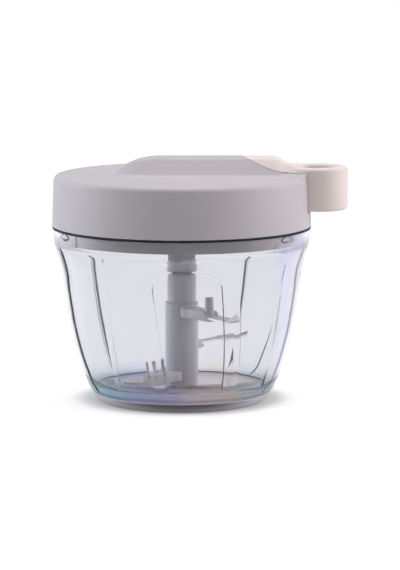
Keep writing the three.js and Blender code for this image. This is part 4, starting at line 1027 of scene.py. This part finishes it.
def small_turned_pieces():
    """The seal, the bushes and the spool, each turned from its outline."""
    sections = (
        ("seal", 160, "pale rubber", "lid_seal", ["lid_seal"], "pale_rubber",
         [(59, 90.2, 0.3), (60.3, 90.3, 0.2), (60.68, 90.7, 0.15), (60.3, 91.1, 0.1), (60.68, 91.6, 0.15),
          (60.3, 92.2, 0.2), (59, 92.4, 0.3)]),
        ("hub_bush", 64, "white", "lid", ["drive_bush"], "white_plastic",
         [(7.2, 81.7, 0.2), (9, 81.7, 0.2), (9, 84.3), (11, 84.3, 0.2), (11, 85.5, 0.3), (7.2, 85.5, 0.3)]),
        ("cord_reel", 96, "white", "spool", ["spool"], "white_plastic",
         [(2.3, 88.6, 0.2), (4.3, 88.6, 0.3), (4.3, 91.6), (6.4, 91.6, 0.3), (6.4, 104.05), (26, 104.05, 0.5),
          (26, 105.35, 0.4), (15.5, 105.35, 0.3), (15.5, 109.35, 0.3), (26, 109.35, 0.4), (26, 110.65, 0.5),
          (2.3, 110.65, 0.4)]),
    )
    for name, steps, finish, body, nodes, slot_name, corners in sections:
        piece = turned(name, rounded(corners, closed=True, steps=3), steps)
        finished(piece, finish_named(finish), body, nodes)
    bush = turned("pin_bush", rounded([
        (0, 23.8), (2.8, 23.8, 0.3), (2.8, 10.9), (5.7, 10.9, 0.3), (5.7, 25.4, 0.5), (0, 25.4)],
        closed=False, steps=3), 48)
    finished(bush, finish_named("white"), "blades", ["foot_bush"])


def recoil_spring_piece():
    """The flat spiral spring as a thin ribbon."""
    loops = []
    for share in np.linspace(0, 1, 240):
        radius, turn = mixed(7, 21.8, share), share * 4 * math.tau
        section = rounded([
            (-0.3, 94.65, 0.1), (0.3, 94.65, 0.1), (0.3, 101.75, 0.1), (-0.3, 101.75, 0.1)],
            closed=True, steps=2)
        loops.append([
            ((radius + dr) * math.cos(turn), (radius + dr) * math.sin(turn), z) for dr, z in section])
    piece = lofted("spiral_spring", loops)
    return finished(piece, finish_named("works steel"), "lid", ["recoil_spring"], 40)


def winding_piece():
    leave = -math.acos(WINDING_OUTER / EYELET)
    path = []
    for share in np.linspace(0, 1, 300):
        radius = mixed(WINDING_INNER, WINDING_OUTER, share)
        turn = leave - (1 - share) * WINDING_TURNS * math.tau
        path.append((radius * math.cos(turn), radius * math.sin(turn), CORD_HEIGHT))
    piece = tube("wound_cord", path, 1.0, 14, strands=4, twist=0.9)
    return finished(piece, finish_named("cord"), "spool", ["cord_winding"], 60)


def pull_cord_piece():
    """The cord from the spool through the eyelet to the knot, with many rings where it pulls out."""
    eyelet = RING_CENTRE - 16.3 - 1.8
    leave = math.acos(WINDING_OUTER / eyelet)
    start = np.array((math.cos(leave), -math.sin(leave))) * WINDING_OUTER
    bend = np.array((eyelet - 5, 0.0))
    towards = (bend - start) / np.linalg.norm(bend - start)
    begin, into, out = start + towards * 0.3, bend - towards * 5, np.array((eyelet - 1, 0.0))
    flat = [begin + (into - begin) * t for t in np.linspace(0, 1, 14)[:-1]]
    flat += [into * (1 - t) ** 2 + 2 * bend * t * (1 - t) + out * t * t
             for t in np.linspace(0, 1, 14)[:-1]]
    end = RING_CENTRE - 9.7 - 3.6 + 0.15
    flat += [np.array((mixed(eyelet - 1, end, t), 0.0)) for t in np.linspace(0, 1, 90)]
    piece = tube("drawn_cord", [(x, y, CORD_HEIGHT) for x, y in flat], 0.98, 14, strands=4, twist=0.9)
    moved(piece, x=AXIS / MM)
    select_only(piece)
    bpy.ops.object.shade_smooth_by_angle(angle=math.radians(60))
    piece.data.materials.clear()
    piece.data.materials.append(finish_named("cord"))
    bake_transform(piece)
    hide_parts("pull_cord")
    return piece


def knot_piece():
    """A small overhand knot that fills its room in the ring."""
    path = []
    for turn in np.linspace(0, math.tau, 73)[:-1]:
        reach = 0.36 * (2 + math.cos(3 * turn))
        path.append((56.4 + 0.36 * math.sin(3 * turn) * 1.4, reach * math.cos(2 * turn) * 1.05,
                     CORD_HEIGHT + reach * math.sin(2 * turn) * 1.05))
    piece = tube("overhand_knot", path, 0.78, 12, strands=4, twist=1.2, closed=True)
    return finished(piece, finish_named("cord"), "handle", ["cord_knot"], 60)


# Operators

class CHOPPER_OT_stage(bpy.types.Operator):
    """Lay the pale floor with a painted contact shadow and set the soft boxes, the camera and the background
    """

    bl_idname = "chopper.stage"
    bl_label = "Stage"

    def execute(self, context):
        scene = context.scene
        deselect_all()
        bpy.ops.mesh.primitive_plane_add(size=40, location=(0, 0, 0))
        floor = context.object
        floor.name = "floor"
        finish = new_finish("floor")
        tone = scene.chopper_colours.floor
        away = finish.measure("LENGTH", finish.places())
        behind = finish.measure("DISTANCE", finish.places(), (0, 0.005, 0))
        # Painted contact shadow: the floor's glow dips in a ring round the foot, centred 5 mm back
        painted_contact_shadow = away.eased(0.034, 0.040) * (1 - behind.eased(0.045, 0.058))
        glow = (0.62 - painted_contact_shadow * 0.34 + away.eased(0.4, 1.5) * 0.5) * finish.seen_ray()
        floor.data.materials.append(finish.surface({
            "Base Color": finish.blend(shaded(tone, 0.99), shaded(tone, 1), finish.noise(30, 3)),
            "Roughness": 0.9, "Specular IOR Level": 0.1,
            "Emission Color": finish.blend((0, 0, 0, 1), (1, 1, 1, 1), glow), "Emission Strength": 1.0}))

        scene.world = bpy.data.worlds.new("studio")
        room = Finish(scene.world)
        direction = room.add("ShaderNodeTexCoord", output="Generated")
        up = room.add("ShaderNodeSeparateXYZ", {}, {"Vector": direction}, output="Z")
        dome = room.blend((0.8, 0.81, 0.85, 1), (0.22, 0.225, 0.25, 1), up.eased(0.0, 0.5))
        studio, mirrored, white = (
            room.add("ShaderNodeBackground", {}, {"Color": colour, "Strength": strength})
            for colour, strength in (((0.95, 0.96, 1, 1), 0.22), (dome, 1.0), ((1, 1, 1, 1), 1.0)))
        studio = room.mix_shaders(studio, mirrored, room.seen_ray())
        room.done("ShaderNodeOutputWorld", {
            "Surface": room.mix_shaders(studio, white, room.ray("Is Camera Ray"))})

        for name, place, size, power, colour in (
            ("left_box", (-1.0, 0.12, 0.36), 0.7, 5.0, (0.93, 0.96, 1.0)),
            ("right_box", (1.0, 0.0, 0.40), 0.7, 5.8, (1.0, 0.94, 0.93)),
            ("top_box", (0.0, 0.05, 1.2), 1.0, 8.6, (1.0, 0.99, 0.99)),
        ):
            deselect_all()
            bpy.ops.object.light_add(type="AREA", location=place)
            lamp = context.object
            lamp.name = name
            lamp.data.size = size
            lamp.data.energy = power
            lamp.data.color = colour
            lamp.visible_camera = False
            lamp.visible_transmission = False
            aim = Vector((0, 0, 0.07)) - Vector(place)
            lamp.rotation_euler = aim.to_track_quat("-Z", "Y").to_euler()

        bpy.ops.object.camera_add(location=(0, -1.5448, 0.2751), rotation=(math.radians(82), 0, 0))
        camera = context.object
        camera.data.sensor_fit = "HORIZONTAL"
        camera.data.sensor_width = 36
        camera.data.lens = 279
        scene.camera = camera
        scene.view_settings.view_transform = "Standard"
        return {"FINISHED"}


class CHOPPER_OT_bowl(bpy.types.Operator):
    """Model the clear bowl with its creases, arched band and lock bumps"""

    bl_idname = "chopper.bowl"
    bl_label = "Bowl"

    def execute(self, context):
        bowl_piece()
        return {"FINISHED"}


class CHOPPER_OT_base_ring(bpy.types.Operator):
    """Model the rubber ring under the bowl"""

    bl_idname = "chopper.base_ring"
    bl_label = "Base Ring"

    def execute(self, context):
        base_ring_piece()
        return {"FINISHED"}


class CHOPPER_OT_blade_shaft(bpy.types.Operator):
    """Model the blade shaft with its arms and pegs"""

    bl_idname = "chopper.blade_shaft"
    bl_label = "Blade Shaft"

    def execute(self, context):
        blade_shaft_piece()
        return {"FINISHED"}


class CHOPPER_OT_blades(bpy.types.Operator):
    """Model the three ground blades"""

    bl_idname = "chopper.blades"
    bl_label = "Blades"

    def execute(self, context):
        for name, height, azimuth, reach, _, _ in BLADES:
            blade_piece(name, height, azimuth, reach)
        return {"FINISHED"}


class CHOPPER_OT_lid_cover(bpy.types.Operator):
    """Model the lid with its hump and the handle's pocket"""

    bl_idname = "chopper.lid_cover"
    bl_label = "Lid Cover"

    def execute(self, context):
        lid_cover_piece()
        return {"FINISHED"}


class CHOPPER_OT_pull_handle(bpy.types.Operator):
    """Model the finger ring and its tongue"""

    bl_idname = "chopper.pull_handle"
    bl_label = "Pull Handle"

    def execute(self, context):
        pull_handle_piece()
        return {"FINISHED"}


class CHOPPER_OT_lid_base(bpy.types.Operator):
    """Model the plate under the works, with its plug and lock pads"""

    bl_idname = "chopper.lid_base"
    bl_label = "Lid Base"

    def execute(self, context):
        lid_base_piece()
        return {"FINISHED"}


class CHOPPER_OT_cord(bpy.types.Operator):
    """Model the winding, the drawn cord and the knot"""

    bl_idname = "chopper.cord"
    bl_label = "Cord"

    def execute(self, context):
        winding_piece()
        pull_cord_piece()
        knot_piece()
        return {"FINISHED"}


class CHOPPER_OT_works(bpy.types.Operator):
    """Model the hub, the seal, the bushes, the reel and the spring"""

    bl_idname = "chopper.works"
    bl_label = "Works"

    def execute(self, context):
        drive_hub_piece()
        small_turned_pieces()
        recoil_spring_piece()
        return {"FINISHED"}


class CHOPPER_OT_kept_parts(bpy.types.Operator):
    """Give the pins, screws, housing and ratchet their steel and plastic"""

    bl_idname = "chopper.kept_parts"
    bl_label = "Kept Parts"

    def execute(self, context):
        for name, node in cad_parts.items():
            if node.hide_render:
                continue
            finish = "white" if name == "spring_housing" else "works steel"
            for k in range(max(1, len(node.material_slots))):
                if not node.material_slots:
                    node.data.materials.append(None)
                node.material_slots[k].link = "OBJECT"
                node.material_slots[k].material = finish_named(finish)
        return {"FINISHED"}


OPERATORS = (
    CHOPPER_OT_stage, CHOPPER_OT_bowl, CHOPPER_OT_base_ring, CHOPPER_OT_blade_shaft,
    CHOPPER_OT_blades, CHOPPER_OT_lid_cover, CHOPPER_OT_pull_handle, CHOPPER_OT_lid_base,
    CHOPPER_OT_cord, CHOPPER_OT_works, CHOPPER_OT_kept_parts,
)


class CHOPPER_PT_panel(bpy.types.Panel):
    """The chopper's sizes, colours and pieces"""

    bl_idname = "CHOPPER_PT_panel"
    bl_label = "Pull-Cord Food Chopper"
    bl_space_type = "VIEW_3D"
    bl_region_type = "UI"
    bl_category = "Chopper"

    def draw(self, context):
        layout = self.layout
        for group in (context.scene.chopper_sizes, context.scene.chopper_colours):
            box = layout.box()
            for name in group.bl_rna.properties.keys():
                if name not in ("rna_type", "name"):
                    box.prop(group, name)
        for operator in OPERATORS:
            layout.operator(operator.bl_idname)


CLASSES = (ChopperSizes, ChopperColours, *OPERATORS, CHOPPER_PT_panel)


def register():
    for item in CLASSES:
        bpy.utils.register_class(item)
    bpy.types.Scene.chopper_sizes = bpy.props.PointerProperty(type=ChopperSizes)
    bpy.types.Scene.chopper_colours = bpy.props.PointerProperty(type=ChopperColours)


def unregister():
    del bpy.types.Scene.chopper_colours
    del bpy.types.Scene.chopper_sizes
    for item in reversed(CLASSES):
        bpy.utils.unregister_class(item)


def main():
    register()
    for operator in OPERATORS:
        group, name = operator.bl_idname.split(".")
        getattr(getattr(bpy.ops, group), name)()


if __name__ == "__main__":
    main()
